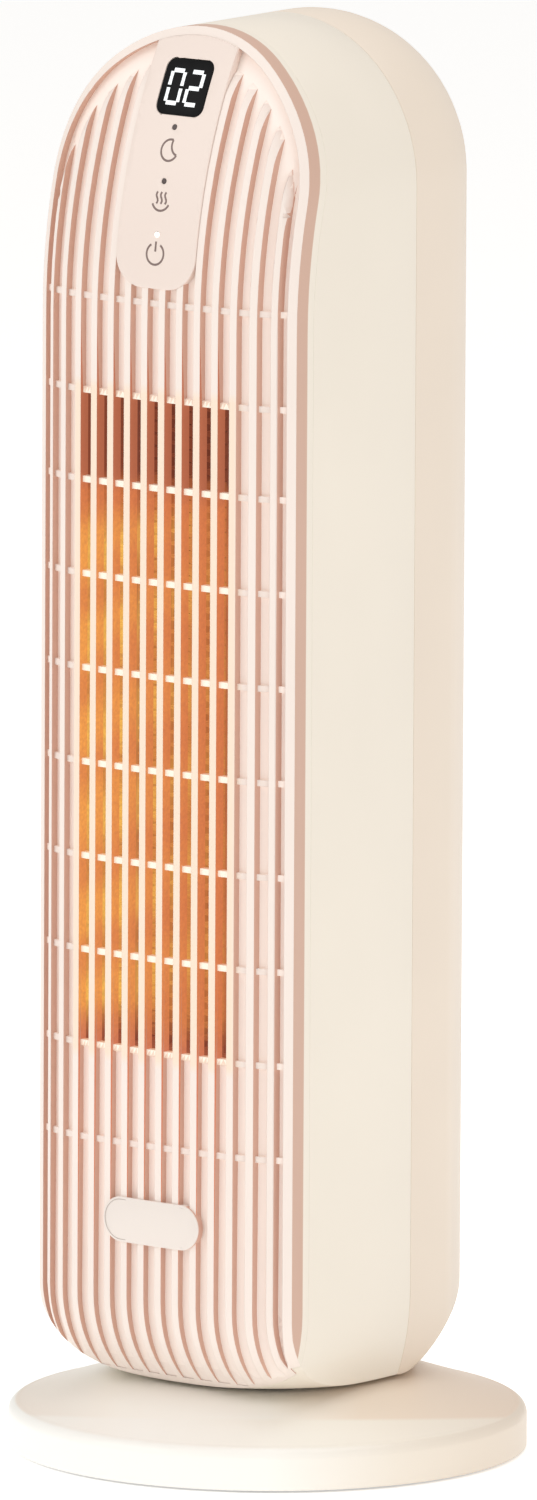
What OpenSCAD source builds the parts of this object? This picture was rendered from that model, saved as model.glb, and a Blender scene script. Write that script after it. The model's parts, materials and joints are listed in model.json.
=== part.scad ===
// Ceramic tower fan heater with a ribbed front grille, on a round swinging base.
// Millimetres, +Z up, the front faces -Y, and the origin is the middle of the base on the floor.

/* [Body] */
// Overall height from the floor to the top of the arch
height = 600; // [560:5:640]
// Width of the body
body_w = 133; // [126:1:140]
// How far the front face stands ahead of the swing axis
front_depth = 80; // [78:1:86]
// How far the back stands behind the swing axis
rear_depth = 78; // [76:1:90]
// Wall of the casing and of the rear shell
wall = 2.5; // [2:0.1:3]
// Where the rear shell meets the casing, behind the swing axis
seam_y = 10.8; // [8:0.2:14]
// Rounding of the back corners and of the domed top
rear_round = 51; // [40:1:54]
// Gap between parts that are fitted together
part_gap = 0.2; // [0.1:0.05:0.3]

/* [Front face] */
// Radius of the broad curve across the front
face_r = 500; // [400:10:600]
// Half width of the broad curve
face_edge_x = 37.92; // [30:0.02:46]
// Radius of the tighter curve toward each side
edge_r = 62.5; // [56:0.5:70]
// Height over which the top of the front leans back
lean_h = 120; // [100:2:130]
// Radius of the leaning top
lean_r = 230; // [210:5:300]
// Depth of the grille's side band, square to the face
band_depth = 9; // [7:0.2:12]

/* [Foot of the body] */
// How far the sides are drawn in at the foot
foot_in = 6.5; // [4:0.5:9]
// Gap between the floor and the underside of the body
foot_z = 35; // [34:0.5:36]
// Height of the curve that draws the front and the sides in to the foot
foot_rise = 37; // [30:1:44]
// Height of the curve that draws the back in to the foot
rear_rise = 51; // [40:1:60]
// Radius of the curve that draws the front corners in to the foot
corner_rise = 40; // [39:1:46]
// How far the foot of the back corners stands out over the foot of the body
rear_foot_out = 1.8; // [1:0.1:4]

/* [Ribs] */
// Number of upright ribs
rib_count = 14; // [10:2:14]
// Distance from rib to rib
rib_pitch = 9; // [8.6:0.1:9]
// Width of a rib
rib_w = 3.6; // [3:0.1:4.4]
// Height of a rib over the floor between the ribs
rib_h = 3; // [2.4:0.1:3.4]
// Thickness of the floor between the ribs
floor_t = 2; // [1.6:0.1:2.6]
// Depth at which the slots run out at the lower rim
slot_end = 0.6; // [0:0.1:1.5]
// Width of the rim round the face
rim_w = 3.5; // [3:0.1:4]
// Width of the channel between the rib tips and the rim at the top
tip_gap = 3.2; // [2:0.2:4]
// How far the arch of the rib tips lies below the arch of the body
tip_drop = 5.3; // [3:0.1:7]
// Distance from cross bar to cross bar
bar_pitch = 39.3; // [36:0.1:42]
// Height of a cross bar
bar_h = 2.6; // [2:0.1:3.2]
// How far a cross bar lies below the rib faces
bar_drop = 1.6; // [1.2:0.1:2]
// Rows of open cells
cell_rows = 7; // [5:1:7]
// Columns of open cells
cell_cols = 9; // [5:2:9]
// Bottom edge of the open window
window_z = 176; // [174:1:184]

/* [Control panel] */
// Width of the panel plate
panel_w = 41; // [36:0.5:41]
// Lower edge of the panel plate, below the top of the body
panel_drop = 105; // [96:1:108]
// Rounding of the lower corners of the panel
panel_corner = 14; // [8:1:18]
// How far the panel stands over the rib faces
panel_proud = 0.6; // [0.3:0.1:1]
// Width of the display
display_w = 24; // [20:0.5:26]
// Height of the display
display_h = 22; // [18:0.5:24]
// Middle of the display, below the top of the body
display_drop = 24; // [23:0.5:28]
// Rounding of the display corners
display_corner = 4; // [2:0.5:6]
// Upper touch key, below the top of the body
key_drop = 50; // [48:0.5:54]
// Distance from key to key
key_pitch = 21; // [18:0.5:22]
// Number of touch keys
key_count = 3; // [2:1:3]

/* [Badge] */
// Width of the bare badge
badge_w = 50; // [40:1:60]
// Height of the bare badge
badge_h = 19; // [14:1:24]
// Thickness of the badge
badge_t = 1.2; // [0.8:0.1:2]
// Middle of the badge above the floor
badge_z = 105; // [95:1:120]

/* [Base] */
// Diameter of the base
base_d = 216; // [200:2:240]
// Height of the upright rim of the base
base_rim_h = 14; // [12:0.5:18]
// Rounding over the rim of the base
base_round = 5; // [3:0.5:7]
// Top of the base at its neck
neck_z = 33; // [30:0.5:33]
// Radius of the flat top of the base
neck_r = 60; // [58:0.5:66]
// Wall of the base cover
base_wall = 2.5; // [2:0.1:3.5]
// Gap under the edge of the base cover
base_lift = 1.2; // [0.8:0.1:1.6]
// Radius of a rubber foot
pad_r = 7; // [5:0.5:9]
// Height of a rubber foot
pad_h = 3; // [2.5:0.1:4]
// Number of rubber feet
pad_count = 5; // [4:1:6]
// Thickness of the bottom plate of the base
plate_t = 2; // [1.6:0.1:3]

/* [Swing drive] */
// Radius of the hollow swing post
post_r = 16; // [14:0.5:18]
// Wall of the swing post
post_wall = 3; // [2.5:0.1:4]
// Running clearance of turning parts
run_gap = 0.05; // [0.03:0.01:0.1]
// Gear module
gear_m = 1; // [0.9:0.05:1.1]
// Teeth of the fixed gear
gear_teeth = 52; // [48:4:56]
// Teeth of the pinion
pinion_teeth = 13; // [12:1:14]
// Width of the gear
gear_w = 6; // [4:0.5:7]
// Radius of the swing motor
swing_motor_r = 17.5; // [14:0.5:18]
// Height of the swing motor
swing_motor_h = 18; // [14:0.5:20]
// Radius of the pinion shaft
pinion_shaft_r = 2.5; // [2:0.1:3]

/* [Fan] */
// Radius of the fan wheel
fan_r = 30; // [26:0.5:31]
// Distance of the fan axis behind the swing axis
fan_y = 22; // [20:0.5:23]
// Number of fan blades
blade_count = 30; // [20:1:36]
// Depth of a fan blade
blade_depth = 7.5; // [5:0.5:9]
// Thickness of a fan blade
blade_t = 1; // [0.8:0.1:1.4]
// Radius of the fan shaft
shaft_r = 3; // [2:0.1:4]
// Radius of the fan motor
motor_r = 28; // [24:0.5:30]
// Height of the fan motor
motor_h = 40; // [30:1:44]
// Thickness of the duct plates
duct_plate_t = 3; // [2:0.1:4]
// Thickness of the duct walls
duct_t = 1.5; // [1.2:0.1:2.5]

/* [Heater] */
// Number of fin stacks side by side
stack_count = 5; // [3:1:6]
// Thickness of a ceramic strip
strip_t = 2.4; // [2:0.1:3]
// Depth of the heating core
core_depth = 14; // [12:0.5:16]
// Distance from fin to fin
fin_pitch = 5.2; // [4:0.1:8]
// Thickness of the fin sheet
fin_t = 0.4; // [0.3:0.05:0.6]
// Height of an end cap of the heater
cap_h = 12; // [10:0.5:13]
// Wall of the heater frame
frame_t = 2.5; // [2:0.1:3.5]
// Distance from the front face to the heating core
core_set = 20; // [18:0.5:24]

/* [Intake] */
// Half width of the intake cover
intake_x = 56; // [50:0.5:57]
// Top of the intake cover above the floor
intake_top = 447; // [430:1:450]
// Bottom of the intake cover above the floor
intake_bottom = 180; // [170:1:200]
// Distance from slot to slot
slot_pitch = 7; // [6:0.1:9]
// Height of a slot
slot_h = 3; // [2:0.1:4]
// Thickness of the intake cover
intake_t = 2; // [1.6:0.1:2.4]

/* [Hidden] */

half_w = body_w / 2;
arch_z = height - half_w;
lean_z = height - lean_h;
grille_t = rib_h + floor_t;
far = 400;
// How far a cut runs past the surface that it opens
over = 1;
// Depth to which the front solids are filled, and those that are cut from them
fill = 40;
cut_fill = 50;
// Radius of the body's foot
foot_r = half_w - foot_in;

// A length rounded to whole steps, so that surfaces made from it in two ways still meet
function to_step(a, step) = round(a / step) * step;

// Where the broad curve of the face hands over to the edge curve
edge_a = asin(face_edge_x / face_r);
edge_cx = to_step((face_r - edge_r) * sin(edge_a), 0.001);
edge_cy = to_step(face_r - (face_r - edge_r) * cos(edge_a), 0.001);
// How far the face falls back at distance x from the middle
function face_fall(x) = abs(x) <= face_edge_x
  ? face_r - sqrt(face_r * face_r - x * x)
  : edge_cy - sqrt(edge_r * edge_r - pow(abs(x) - edge_cx, 2));
edge_fall = face_fall(half_w);
// How deep the outline of the joint between grille and casing is filled
joint_fill = front_depth + seam_y + over;
// In the foot the grille reaches back to this depth, over this half width and up to this height
foot_joint_d = to_step(edge_fall + band_depth + 1.8, 0.1);
foot_joint_x = half_w - 6;
foot_joint_z = foot_z + foot_rise - 4;

// Radius of an upright arc that moves in by d over the height h
function draw_in(d, h) = to_step((d * d + h * h) / (2 * d), 0.01);
foot_top = foot_z + foot_rise;
front_foot_r = draw_in(front_depth - foot_r, foot_rise);
side_foot_r = draw_in(half_w - foot_r, foot_rise);
rear_foot_r = draw_in(rear_depth - foot_r, rear_rise);
corner_c = to_step(norm([half_w, front_depth - edge_fall]) + over - corner_rise, 0.01);
// The back corners lie within this distance of the swing axis
corner_gap = 0.4;
rear_reach = to_step(norm([half_w - rear_round, rear_depth - rear_round]) + rear_round + corner_gap, 0.01);
rear_bowl_r = draw_in(rear_reach - foot_r - rear_foot_out, rear_rise);

// Front surface inset by d, as its distance ahead of the swing axis, at height z in the middle
function face_y(z, d = 0) = z > lean_z
  ? -front_depth + lean_r - sqrt(pow(lean_r - d, 2) - pow(z - lean_z, 2))
  : -front_depth + d;
function face_tilt(z) = z > lean_z ? asin((z - lean_z) / lean_r) : 0;

// Outline across the front, apex at reach, inset by d and filled for the depth given
module face_outline(reach, d, depth, half = half_w) {
  turn = to_step((face_r - d) * sin(edge_a), 0.001);
  intersection() {
    translate([0, reach - face_r]) circle(face_r - d, $fn = 360);
    translate([-turn, reach - depth]) square([2 * turn, depth + 10]);
  }
  for (side = [0, 1]) mirror([side, 0])
    intersection() {
      translate([edge_cx, reach - edge_cy]) circle(edge_r - d, $fn = 240);
      translate([turn, reach - depth]) square([half - turn, depth + 10]);
    }
}

// The front half of the body as far as depth, inset by d, on a foot of radius round_r
module face_solid(d, depth, half = half_w, round_r = front_foot_r) {
  translate([0, 0, foot_top]) linear_extrude(lean_z - foot_top)
    mirror([0, 1]) face_outline(front_depth, d, depth, half);
  translate([0, lean_r - front_depth, lean_z])
    rotate([0, -90, 0]) rotate(-90) rotate_extrude(angle = 45, $fn = 360)
      rotate(-90) face_outline(lean_r, d, depth, half);
  translate([0, round_r - front_depth, foot_top])
    rotate([0, -90, 0]) rotate(180) rotate_extrude(angle = 90, $fn = 240)
      rotate(-90) face_outline(round_r, d, min(depth, round_r - over), half);
}

// Outline of the body seen from the front, inset by d
module arch_outline(d, floor_z = foot_z) {
  translate([0, arch_z]) circle(half_w - d, $fn = 240);
  translate([-half_w + d, foot_top]) square([body_w - 2 * d, arch_z - foot_top]);
  intersection() {
    translate([half_w - side_foot_r, foot_top]) circle(side_foot_r - d, $fn = 360);
    translate([side_foot_r - half_w, foot_top]) circle(side_foot_r - d, $fn = 360);
    translate([-half_w, floor_z]) square([body_w, foot_top - floor_z]);
  }
}

module arch_prism(d, y0, y1, floor_z = foot_z) {
  translate([0, y1, 0]) rotate([90, 0, 0]) linear_extrude(y1 - y0) arch_outline(d, floor_z);
}

// The bowl that draws the front corners in to the round foot, inset by d
module corner_bowl(d, floor_z = foot_z) {
  bowl_z = foot_z + corner_rise;
  rotate_extrude($fn = 180) {
    translate([0, floor_z]) square([corner_c, bowl_z - floor_z]);
    intersection() {
      translate([corner_c, bowl_z]) circle(corner_rise - d, $fn = 180);
      translate([corner_c, floor_z]) square([corner_rise, bowl_z - floor_z]);
    }
    translate([0, bowl_z]) square([corner_c + corner_rise - d, height]);
  }
}

// The taller bowl that draws the back corners in, inset by d
module rear_bowl(d, floor_z) {
  bowl_z = foot_z + rear_rise;
  rotate_extrude($fn = 180) {
    intersection() {
      translate([rear_reach - rear_bowl_r, bowl_z]) circle(rear_bowl_r - d, $fn = 360);
      translate([0, floor_z]) square([rear_reach, bowl_z - floor_z]);
    }
    translate([0, bowl_z]) square([rear_reach - d, height]);
  }
}

// Everything behind the joint between grille and casing, moved back by d
module behind_joint(d) {
  difference() {
    linear_extrude(lean_z) mirror([0, 1])
      face_outline(front_depth, band_depth + d, joint_fill, half_w + over);
    translate([-foot_joint_x - d, -front_depth - over, -over])
      cube([2 * (foot_joint_x + d), foot_joint_d + d + over, foot_joint_z + d + over]);
  }
  translate([0, lean_r - front_depth, lean_z])
    rotate([0, -90, 0]) rotate(-90) rotate_extrude(angle = 45, $fn = 360)
      rotate(-90) face_outline(lean_r, band_depth + d, joint_fill, half_w + over);
}

// Plan of the rear half with its rounded corners, inset by d
module rear_outline(d, y0) {
  translate([-half_w + d, y0]) square([body_w - 2 * d, rear_depth - rear_round - y0]);
  translate([-half_w + rear_round, y0]) square([body_w - 2 * rear_round, rear_depth - d - y0]);
  for (side = [-1, 1])
    translate([side * (half_w - rear_round), rear_depth - rear_round])
      circle(rear_round - d, $fn = 240);
}

// The rear half of the body, inset by d, with its lower edge at floor_z
module rear_solid(d, y0, floor_z = foot_z) {
  intersection() {
    union() {
      linear_extrude(arch_z) rear_outline(d, y0);
      translate([0, 0, arch_z]) rotate([-90, 0, 0]) rotate([0, 0, 180])
        rotate_extrude(angle = 180, $fn = 240)
          intersection() {
            rear_outline(d, y0);
            square([half_w, rear_depth]);
          }
    }
    arch_prism(d, y0, rear_depth, floor_z);
    rear_bowl(d, floor_z);
    rotate([90, 0, 90]) linear_extrude(body_w, center = true) {
      intersection() {
        translate([rear_depth - rear_foot_r, foot_z + rear_rise])
          circle(rear_foot_r - d, $fn = 360);
        translate([0, floor_z]) square([far, foot_z + rear_rise - floor_z]);
      }
      translate([0, foot_z + rear_rise]) square([far, far + height]);
    }
  }
}

// Ribs, slots, window and bars of the grille
function slot_x(i) = i * rib_pitch;
slot_w = rib_pitch - rib_w;
window_x = (cell_cols - 1) / 2 * rib_pitch + slot_w / 2;
window_top = window_z + (cell_rows - 1) * bar_pitch + bar_pitch - 2;
function bar_z(i) = i < cell_rows ? window_z + i * bar_pitch
  : window_top + (i - cell_rows) * bar_pitch;

// Radius of the floor between the ribs in the foot, so that the slots run out at the lower rim
slot_run = foot_top - foot_z - rim_w;
rib_run_y = front_foot_r - sqrt(pow(front_foot_r, 2) - pow(slot_run, 2));
slot_foot_r = rib_h + draw_in(rib_run_y + slot_end - rib_h, slot_run);

// The area in which the slots lie: the rim's inner edge
module slot_area() {
  arch_outline(rim_w, foot_z + rim_w);
}

// The area that the ribs cover, with their free tips along a lower arch
module rib_area() {
  tip_r = half_w - rim_w - tip_gap;
  translate([0, arch_z - tip_drop]) circle(tip_r, $fn = 180);
  translate([-half_w, 0]) square([body_w, arch_z - tip_drop]);
}

module rib_strips() {
  intersection() {
    for (i = [0 : rib_count - 1])
      translate([(i - (rib_count - 1) / 2) * rib_pitch - rib_w / 2, 0]) square([rib_w, height]);
    rib_area();
  }
}

module panel_outline(grow) {
  bottom = height - panel_drop - grow;
  half = panel_w / 2 + grow;
  r = panel_corner + grow;
  intersection() {
    union() {
      translate([-half, bottom + r]) square([2 * half, panel_drop]);
      translate([-half + r, bottom]) square([2 * (half - r), panel_drop]);
      for (side = [-1, 1]) translate([side * (half - r), bottom + r]) circle(r, $fn = 96);
    }
    translate([0, arch_z]) circle(half_w - rim_w + grow - part_gap, $fn = 240);
  }
}

// Rounded rectangle centred at height z
module plate_outline(w, h, r, z) {
  translate([-w / 2 + r, z - h / 2]) square([w - 2 * r, h]);
  translate([-w / 2, z - h / 2 + r]) square([w, h - 2 * r]);
  for (sx = [-1, 1], sz = [-1, 1])
    translate([sx * (w / 2 - r), z + sz * (h / 2 - r)]) circle(r, $fn = 64);
}

// Runs an outline drawn from the front along the depth of the body
module through(y0 = -front_depth - 10, y1 = 0) {
  translate([0, y1, 0]) rotate([90, 0, 0]) linear_extrude(y1 - y0) children();
}

display_z = height - display_drop;
function key_z(i) = height - key_drop - i * key_pitch;

// Control board frame: the middle of the board's front face, tilted with the face
board_l = 74;
board_w = 34;
board_t = 1.6;
board_set = 8;
board_mid_z = height - 48;
board_tilt = face_tilt(board_mid_z);
module on_board() {
  translate([0, face_y(board_mid_z, grille_t) + board_set * cos(board_tilt),
             board_mid_z - board_set * sin(board_tilt)])
    rotate([-board_tilt, 0, 0]) rotate([90, 0, 0]) children();
}
// Gap between the board and the inside of the grille, at distance v along the board
function board_gap(v) = board_set - v * v / (2 * (lean_r - grille_t));
// Place along the board of a point of the face at height z
function board_v(z) = (z - board_mid_z) * cos(board_tilt)
  + (face_y(z) - face_y(board_mid_z)) * sin(board_tilt);

// Rim of the floor that the display plate rests on
sight_rim = 1.5;
// Free room round a light guide
light_gap = 0.1;
// Where the cuts of the window start and how deep they go
cut_y = -front_depth - 5;
cut_l = 30;
module front_grille() {
  color([0.97, 0.91, 0.88]) difference() {
    intersection() {
      arch_prism(0, -front_depth - 10, 0);
      corner_bowl(0);
      face_solid(0, fill, half_w + over);
    }
    intersection() {
      arch_prism(wall, -front_depth - 10, 0, foot_z + wall);
      face_solid(grille_t, cut_fill, half_w + over);
    }
    behind_joint(0);
    // slots between the ribs, down to the floor
    difference() {
      through() difference() {
        slot_area();
        rib_strips();
      }
      face_solid(rib_h, cut_fill, half_w + over, slot_foot_r);
      intersection() {
        face_solid(bar_drop, cut_fill, half_w + over);
        bars();
      }
    }
    // seat of the control panel
    difference() {
      through() panel_outline(part_gap);
      face_solid(rib_h, cut_fill, half_w + over);
    }
    // open cells of the window
    for (i = [0 : cell_cols - 1], j = [0 : cell_rows - 1])
      translate([slot_x(i - (cell_cols - 1) / 2) - slot_w / 2, cut_y, bar_z(j) + bar_h / 2])
        cube([slot_w, cut_l, bar_z(j + 1) - bar_z(j) - bar_h]);
    // opening for the display and the light guides
    through() plate_outline(display_w - 2 * sight_rim, display_h - 2 * sight_rim,
                            display_corner - sight_rim, display_z);
    for (i = [0 : key_count - 1]) light_guide(i, light_gap);
  }
  color([0.97, 0.91, 0.88]) board_posts();
}

module bars() {
  for (j = [-1 : cell_rows + 1])
    translate([-half_w, cut_y, (j < 0 ? window_z - bar_pitch : bar_z(j)) - bar_h / 2])
      cube([body_w, cut_l, bar_h]);
}

// Posts between the control board and the inside of the grille
post_v = board_l / 2 - 6;
post_x = board_w / 2 - 4;
post_thick_r = 2.5;
module board_posts() {
  for (sx = [-1, 1], sv = [-1, 1])
    on_board() translate([sx * post_x, sv * post_v, 0])
      cylinder(h = board_gap(post_v) + floor_t / 2, r = post_thick_r, $fn = 32);
}

// Light guides: each stands over its key and reaches a little behind the floor
light_r = 1.1;
light_rise = 8;
light_back = 1.2;
module light_guide(i, grow) {
  z = key_z(i) + light_rise;
  translate([0, face_y(z, grille_t) + light_back, z]) rotate([90 - face_tilt(z), 0, 0])
    cylinder(h = grille_t + light_back + 2, r = light_r + grow, $fn = 32);
}

module indicator_lights() {
  color([0.95, 0.95, 0.92]) intersection() {
    for (i = [0 : key_count - 1]) light_guide(i, 0);
    face_solid(-panel_proud, fill);
  }
}

// Back of the panel and of the display plate, just clear of the floor between the ribs
seat_d = rib_h - 0.05;
module control_panel() {
  color([0.96, 0.89, 0.86]) difference() {
    intersection() {
      through() panel_outline(0);
      face_solid(-panel_proud, fill);
    }
    face_solid(seat_d, cut_fill, half_w + over);
    through() plate_outline(display_w + 2 * part_gap, display_h + 2 * part_gap,
                            display_corner + part_gap, display_z);
    for (i = [0 : key_count - 1]) light_guide(i, light_gap);
  }
}

module display_window() {
  color([0.03, 0.03, 0.04]) difference() {
    intersection() {
      through() plate_outline(display_w, display_h, display_corner, display_z);
      face_solid(-panel_proud, fill);
    }
    face_solid(seat_d, cut_fill, half_w + over);
  }
}

module control_board() {
  color([0.1, 0.4, 0.2]) on_board()
    translate([-board_w / 2, -board_l / 2, -board_t]) cube([board_w, board_l, board_t]);
}

// Display module: it stands on the board behind the display plate
display_v = board_v(display_z);
module_w = display_w - 4;
module_l = display_h - 7;
module_gap = 0.4;
module display_module() {
  color([0.85, 0.85, 0.85]) on_board()
    translate([-module_w / 2, display_v - module_l / 2 + 0.5, 0])
      cube([module_w, module_l, board_gap(display_v) - module_gap]);
}

// Springs between the board and the keys
key_spring_r = 4;
key_spring_gap = 0.8;
module touch_springs() {
  color([0.8, 0.8, 0.82])
    for (i = [0 : key_count - 1])
      on_board() translate([0, board_v(key_z(i)), 0])
        cylinder(h = board_gap(board_v(key_z(i))) - key_spring_gap, r = key_spring_r, $fn = 32);
}

// Thickness of the glue film under the badge
badge_gap = 0.05;
module badge_plate() {
  color([0.98, 0.93, 0.9]) difference() {
    intersection() {
      through() plate_outline(badge_w, badge_h, badge_h / 2 - 0.01, badge_z);
      face_solid(-badge_t, fill);
    }
    face_solid(-badge_gap, cut_fill, half_w + over);
  }
}

// Posts that carry the screws between the casing and the rear shell
screw_x = half_w - 23.5;
screw_low_z = foot_z + 70;
screw_high_z = height - 110;
screw_r = 1.6;
screw_head_r = 3.2;
screw_head_h = 2.2;
head_bore_r = 3.6;
screw_post_r = 5;
post_l = 20;
thread_l = 12;
web_t = 2;
web_l = half_w - screw_x - wall / 2;
screw_places = [[screw_x, screw_low_z], [-screw_x, screw_low_z],
                [screw_x, screw_high_z], [-screw_x, screw_high_z]];
module at_screws() {
  for (p = screw_places) translate([p[0], 0, p[1]]) rotate([-90, 0, 0]) children();
}

// Turntable: a disc in the hole of the foot with a flange on the shells' floor
table_t = 5;
table_r = foot_r - 12;
table_flange = 8.5;
flange_low = foot_z + wall + 0.1;
table_screw_r = 1.4;
table_head_r = 2.8;
table_head_h = 1.2;
// Screws that hold the shells to the flange of the turntable, from below
module at_table_screws() {
  for (i = [0 : 3]) rotate([0, 0, 45 + 90 * i])
    translate([table_r + table_flange / 2, 0, foot_z]) children();
}
module table_screw_holes() {
  at_table_screws() translate([0, 0, -over]) {
    cylinder(h = table_t + 2 * over, r = table_screw_r, $fn = 32);
    cylinder(h = table_head_h + 0.2 + over, r = table_head_r + 0.3, $fn = 32);
  }
}
module table_hole() {
  translate([0, 0, foot_z - over]) cylinder(h = wall + 2 * over, r = table_r + part_gap, $fn = 120);
}

module casing() {
  color([0.94, 0.91, 0.86]) {
    difference() {
      intersection() {
        arch_prism(0, -front_depth, seam_y);
        corner_bowl(0);
        behind_joint(part_gap);
      }
      intersection() {
        arch_prism(wall, -front_depth - over, seam_y + over, foot_z + wall);
        corner_bowl(wall, foot_z + wall);
      }
      table_hole();
      table_screw_holes();
    }
    difference() {
      for (p = screw_places) translate([p[0], seam_y - post_l, p[1]]) {
        rotate([-90, 0, 0]) cylinder(h = post_l, r = screw_post_r, $fn = 48);
        translate([p[0] > 0 ? 0 : -web_l, 0, -web_t / 2]) cube([web_l, post_l, web_t]);
      }
      at_screws() translate([0, 0, seam_y - thread_l - 4]) cylinder(h = post_l, r = screw_r, $fn = 32);
    }
  }
}

// Opening in the rear shell for the intake cover, with a ledge round it
shell_y = seam_y + part_gap;
head_y = seam_y + 8;
intake_y = 30;
intake_l = rear_depth;
ledge_w = 4;
ledge_grow = 3;
ledge_bite = 0.5;
ledge_drop = 0.8;
ledge_t = 1.2;
// Block over the intake opening, wider by grow on each side
module intake_block(grow) {
  translate([-intake_x - grow, intake_y, intake_bottom - grow])
    cube([2 * (intake_x + grow), intake_l, intake_top - intake_bottom + 2 * grow]);
}

module rear_shell() {
  color([0.93, 0.9, 0.83]) {
    difference() {
      rear_solid(0, shell_y);
      rear_solid(wall, shell_y - over, foot_z + wall);
      table_hole();
      table_screw_holes();
      intake_block(0);
      at_screws() translate([0, 0, head_y]) cylinder(h = far, r = head_bore_r, $fn = 32);
    }
    // ledge that the intake cover and the filter rest on
    difference() {
      intersection() {
        difference() {
          rear_solid(wall - ledge_bite, shell_y, foot_z + wall);
          rear_solid(wall + ledge_drop + ledge_t, shell_y - over, foot_z + wall);
        }
        intake_block(ledge_grow);
      }
      intake_block(-ledge_w);
      // room for the cover and the filter over their ledge
      difference() {
        intake_block(0);
        rear_solid(wall + ledge_drop, 0);
      }
    }
    difference() {
      intersection() {
        at_screws() translate([0, 0, shell_y]) cylinder(h = far, r = screw_post_r, $fn = 48);
        rear_solid(wall / 2, shell_y);
      }
      at_screws() cylinder(h = far, r = screw_r, $fn = 32);
      at_screws() translate([0, 0, head_y]) cylinder(h = far, r = head_bore_r, $fn = 32);
    }
  }
}

module casing_screws() {
  color([0.6, 0.6, 0.62]) at_screws() {
    translate([0, 0, seam_y - thread_l]) cylinder(h = head_y - seam_y + thread_l, r = screw_r, $fn = 32);
    translate([0, 0, head_y]) cylinder(h = screw_head_h, r = screw_head_r, $fn = 32);
  }
}

// Plain rims of the intake cover: above and below the slots, in the middle and at the sides
slot_rim_z = 8;
slot_rim_x = 1.5;
slot_rim_side = 5;
module intake_cover() {
  span = intake_top - intake_bottom - 2 * part_gap;
  rows = floor((span - 2 * slot_rim_z) / slot_pitch);
  start = (intake_top + intake_bottom - rows * slot_pitch + slot_pitch - slot_h) / 2;
  slot_l = intake_x - slot_rim_x - slot_rim_side;
  color([0.93, 0.9, 0.83]) difference() {
    intersection() {
      difference() {
        rear_solid(0, intake_y);
        rear_solid(intake_t, intake_y - over);
      }
      intake_block(-part_gap);
    }
    for (i = [0 : rows - 1], side = [0, 1]) mirror([side, 0, 0])
      translate([slot_rim_x, intake_y, start + i * slot_pitch]) cube([slot_l, intake_l, slot_h]);
  }
}

filter_gap = 0.15;
module dust_filter() {
  color([0.25, 0.26, 0.28]) intersection() {
    difference() {
      rear_solid(intake_t + filter_gap, intake_y);
      rear_solid(wall + ledge_drop - 0.1, intake_y - over);
    }
    intake_block(-over);
  }
}

// Round base with its shallow cone and the hollow swing post
module base_outline(d, low) {
  r = base_d / 2;
  shoulder_r = r - base_round;
  slope_z = base_rim_h + base_round;
  translate([0, low]) square([r - d, base_rim_h - low]);
  translate([0, base_rim_h]) intersection() {
    translate([shoulder_r, 0]) circle(base_round - d + 0.001, $fn = 96);
    translate([shoulder_r, 0]) square(base_round);
  }
  polygon([[0, base_rim_h - 0.01], [shoulder_r, base_rim_h - 0.01], [shoulder_r, slope_z - d],
           [neck_r - d / 3, neck_z - d], [0, neck_z - d]]);
}

post_low = neck_z - 8;
post_top = foot_z + 15;
boss_ring = base_d / 2 - 22;
boss_count = 4;
boss_r = 4;
plate_z = pad_h;
plate_top = plate_z + plate_t;
plate_r = base_d / 2 - base_wall - 0.5;
base_thread_l = 11;
base_head_h = 1.6;
inlet_r = 5;
inlet_bore_r = 2.5;
inlet_flush = 1.5;
inlet_in = 0.3;
inlet_z = plate_top + inlet_r + 0.3;
module at_bosses() {
  for (i = [0 : boss_count - 1]) rotate([0, 0, 45 + i * 360 / boss_count])
    translate([boss_ring, 0, 0]) children();
}

module base_cover() {
  color([0.98, 0.97, 0.93]) difference() {
    union() {
      rotate_extrude($fn = 180) difference() {
        base_outline(0, base_lift);
        base_outline(base_wall, base_lift - over);
      }
      translate([0, 0, post_low]) cylinder(h = post_top - post_low, r = post_r, $fn = 120);
      intersection() {
        at_bosses() translate([0, 0, plate_top]) cylinder(h = neck_z, r = boss_r, $fn = 48);
        rotate_extrude($fn = 180) base_outline(base_wall / 2, base_lift);
      }
    }
    cylinder(h = post_top + over, r = post_r - post_wall, $fn = 96);
    at_bosses() cylinder(h = plate_z + base_thread_l + over, r = screw_r, $fn = 32);
    translate([0, base_d / 2 + over, inlet_z]) rotate([90, 0, 0])
      cylinder(h = base_wall + 3 * over, r = inlet_r + part_gap / 2, $fn = 48);
  }
}

module cord_inlet() {
  color([0.85, 0.84, 0.8])
    translate([0, base_d / 2 - base_wall - inlet_flush, inlet_z]) rotate([-90, 0, 0]) difference() {
      cylinder(h = base_wall + inlet_flush - inlet_in, r = inlet_r, $fn = 48);
      translate([0, 0, -over]) cylinder(h = base_wall + 4 * over, r = inlet_bore_r, $fn = 48);
    }
}

module base_plate() {
  color([0.9, 0.89, 0.85]) difference() {
    translate([0, 0, plate_z]) cylinder(h = plate_t, r = plate_r, $fn = 180);
    at_bosses() cylinder(h = plate_top + over, r = screw_r + part_gap, $fn = 32);
    translate([0, -plunger_ring, 0]) cylinder(h = plate_top + over, r = plunger_r + part_gap, $fn = 48);
  }
}

module base_screws() {
  color([0.6, 0.6, 0.62]) at_bosses() translate([0, 0, plate_z]) {
    translate([0, 0, -base_head_h]) cylinder(h = base_head_h, r = screw_head_r, $fn = 32);
    cylinder(h = base_thread_l, r = screw_r, $fn = 32);
  }
}

pad_ring = base_d / 2 - 14;
module rubber_feet() {
  color([0.2, 0.2, 0.2]) for (i = [0 : pad_count - 1]) rotate([0, 0, 90 + i * 360 / pad_count])
    translate([pad_ring, 0, 0]) cylinder(h = pad_h, r = pad_r, $fn = 64);
}

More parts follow.
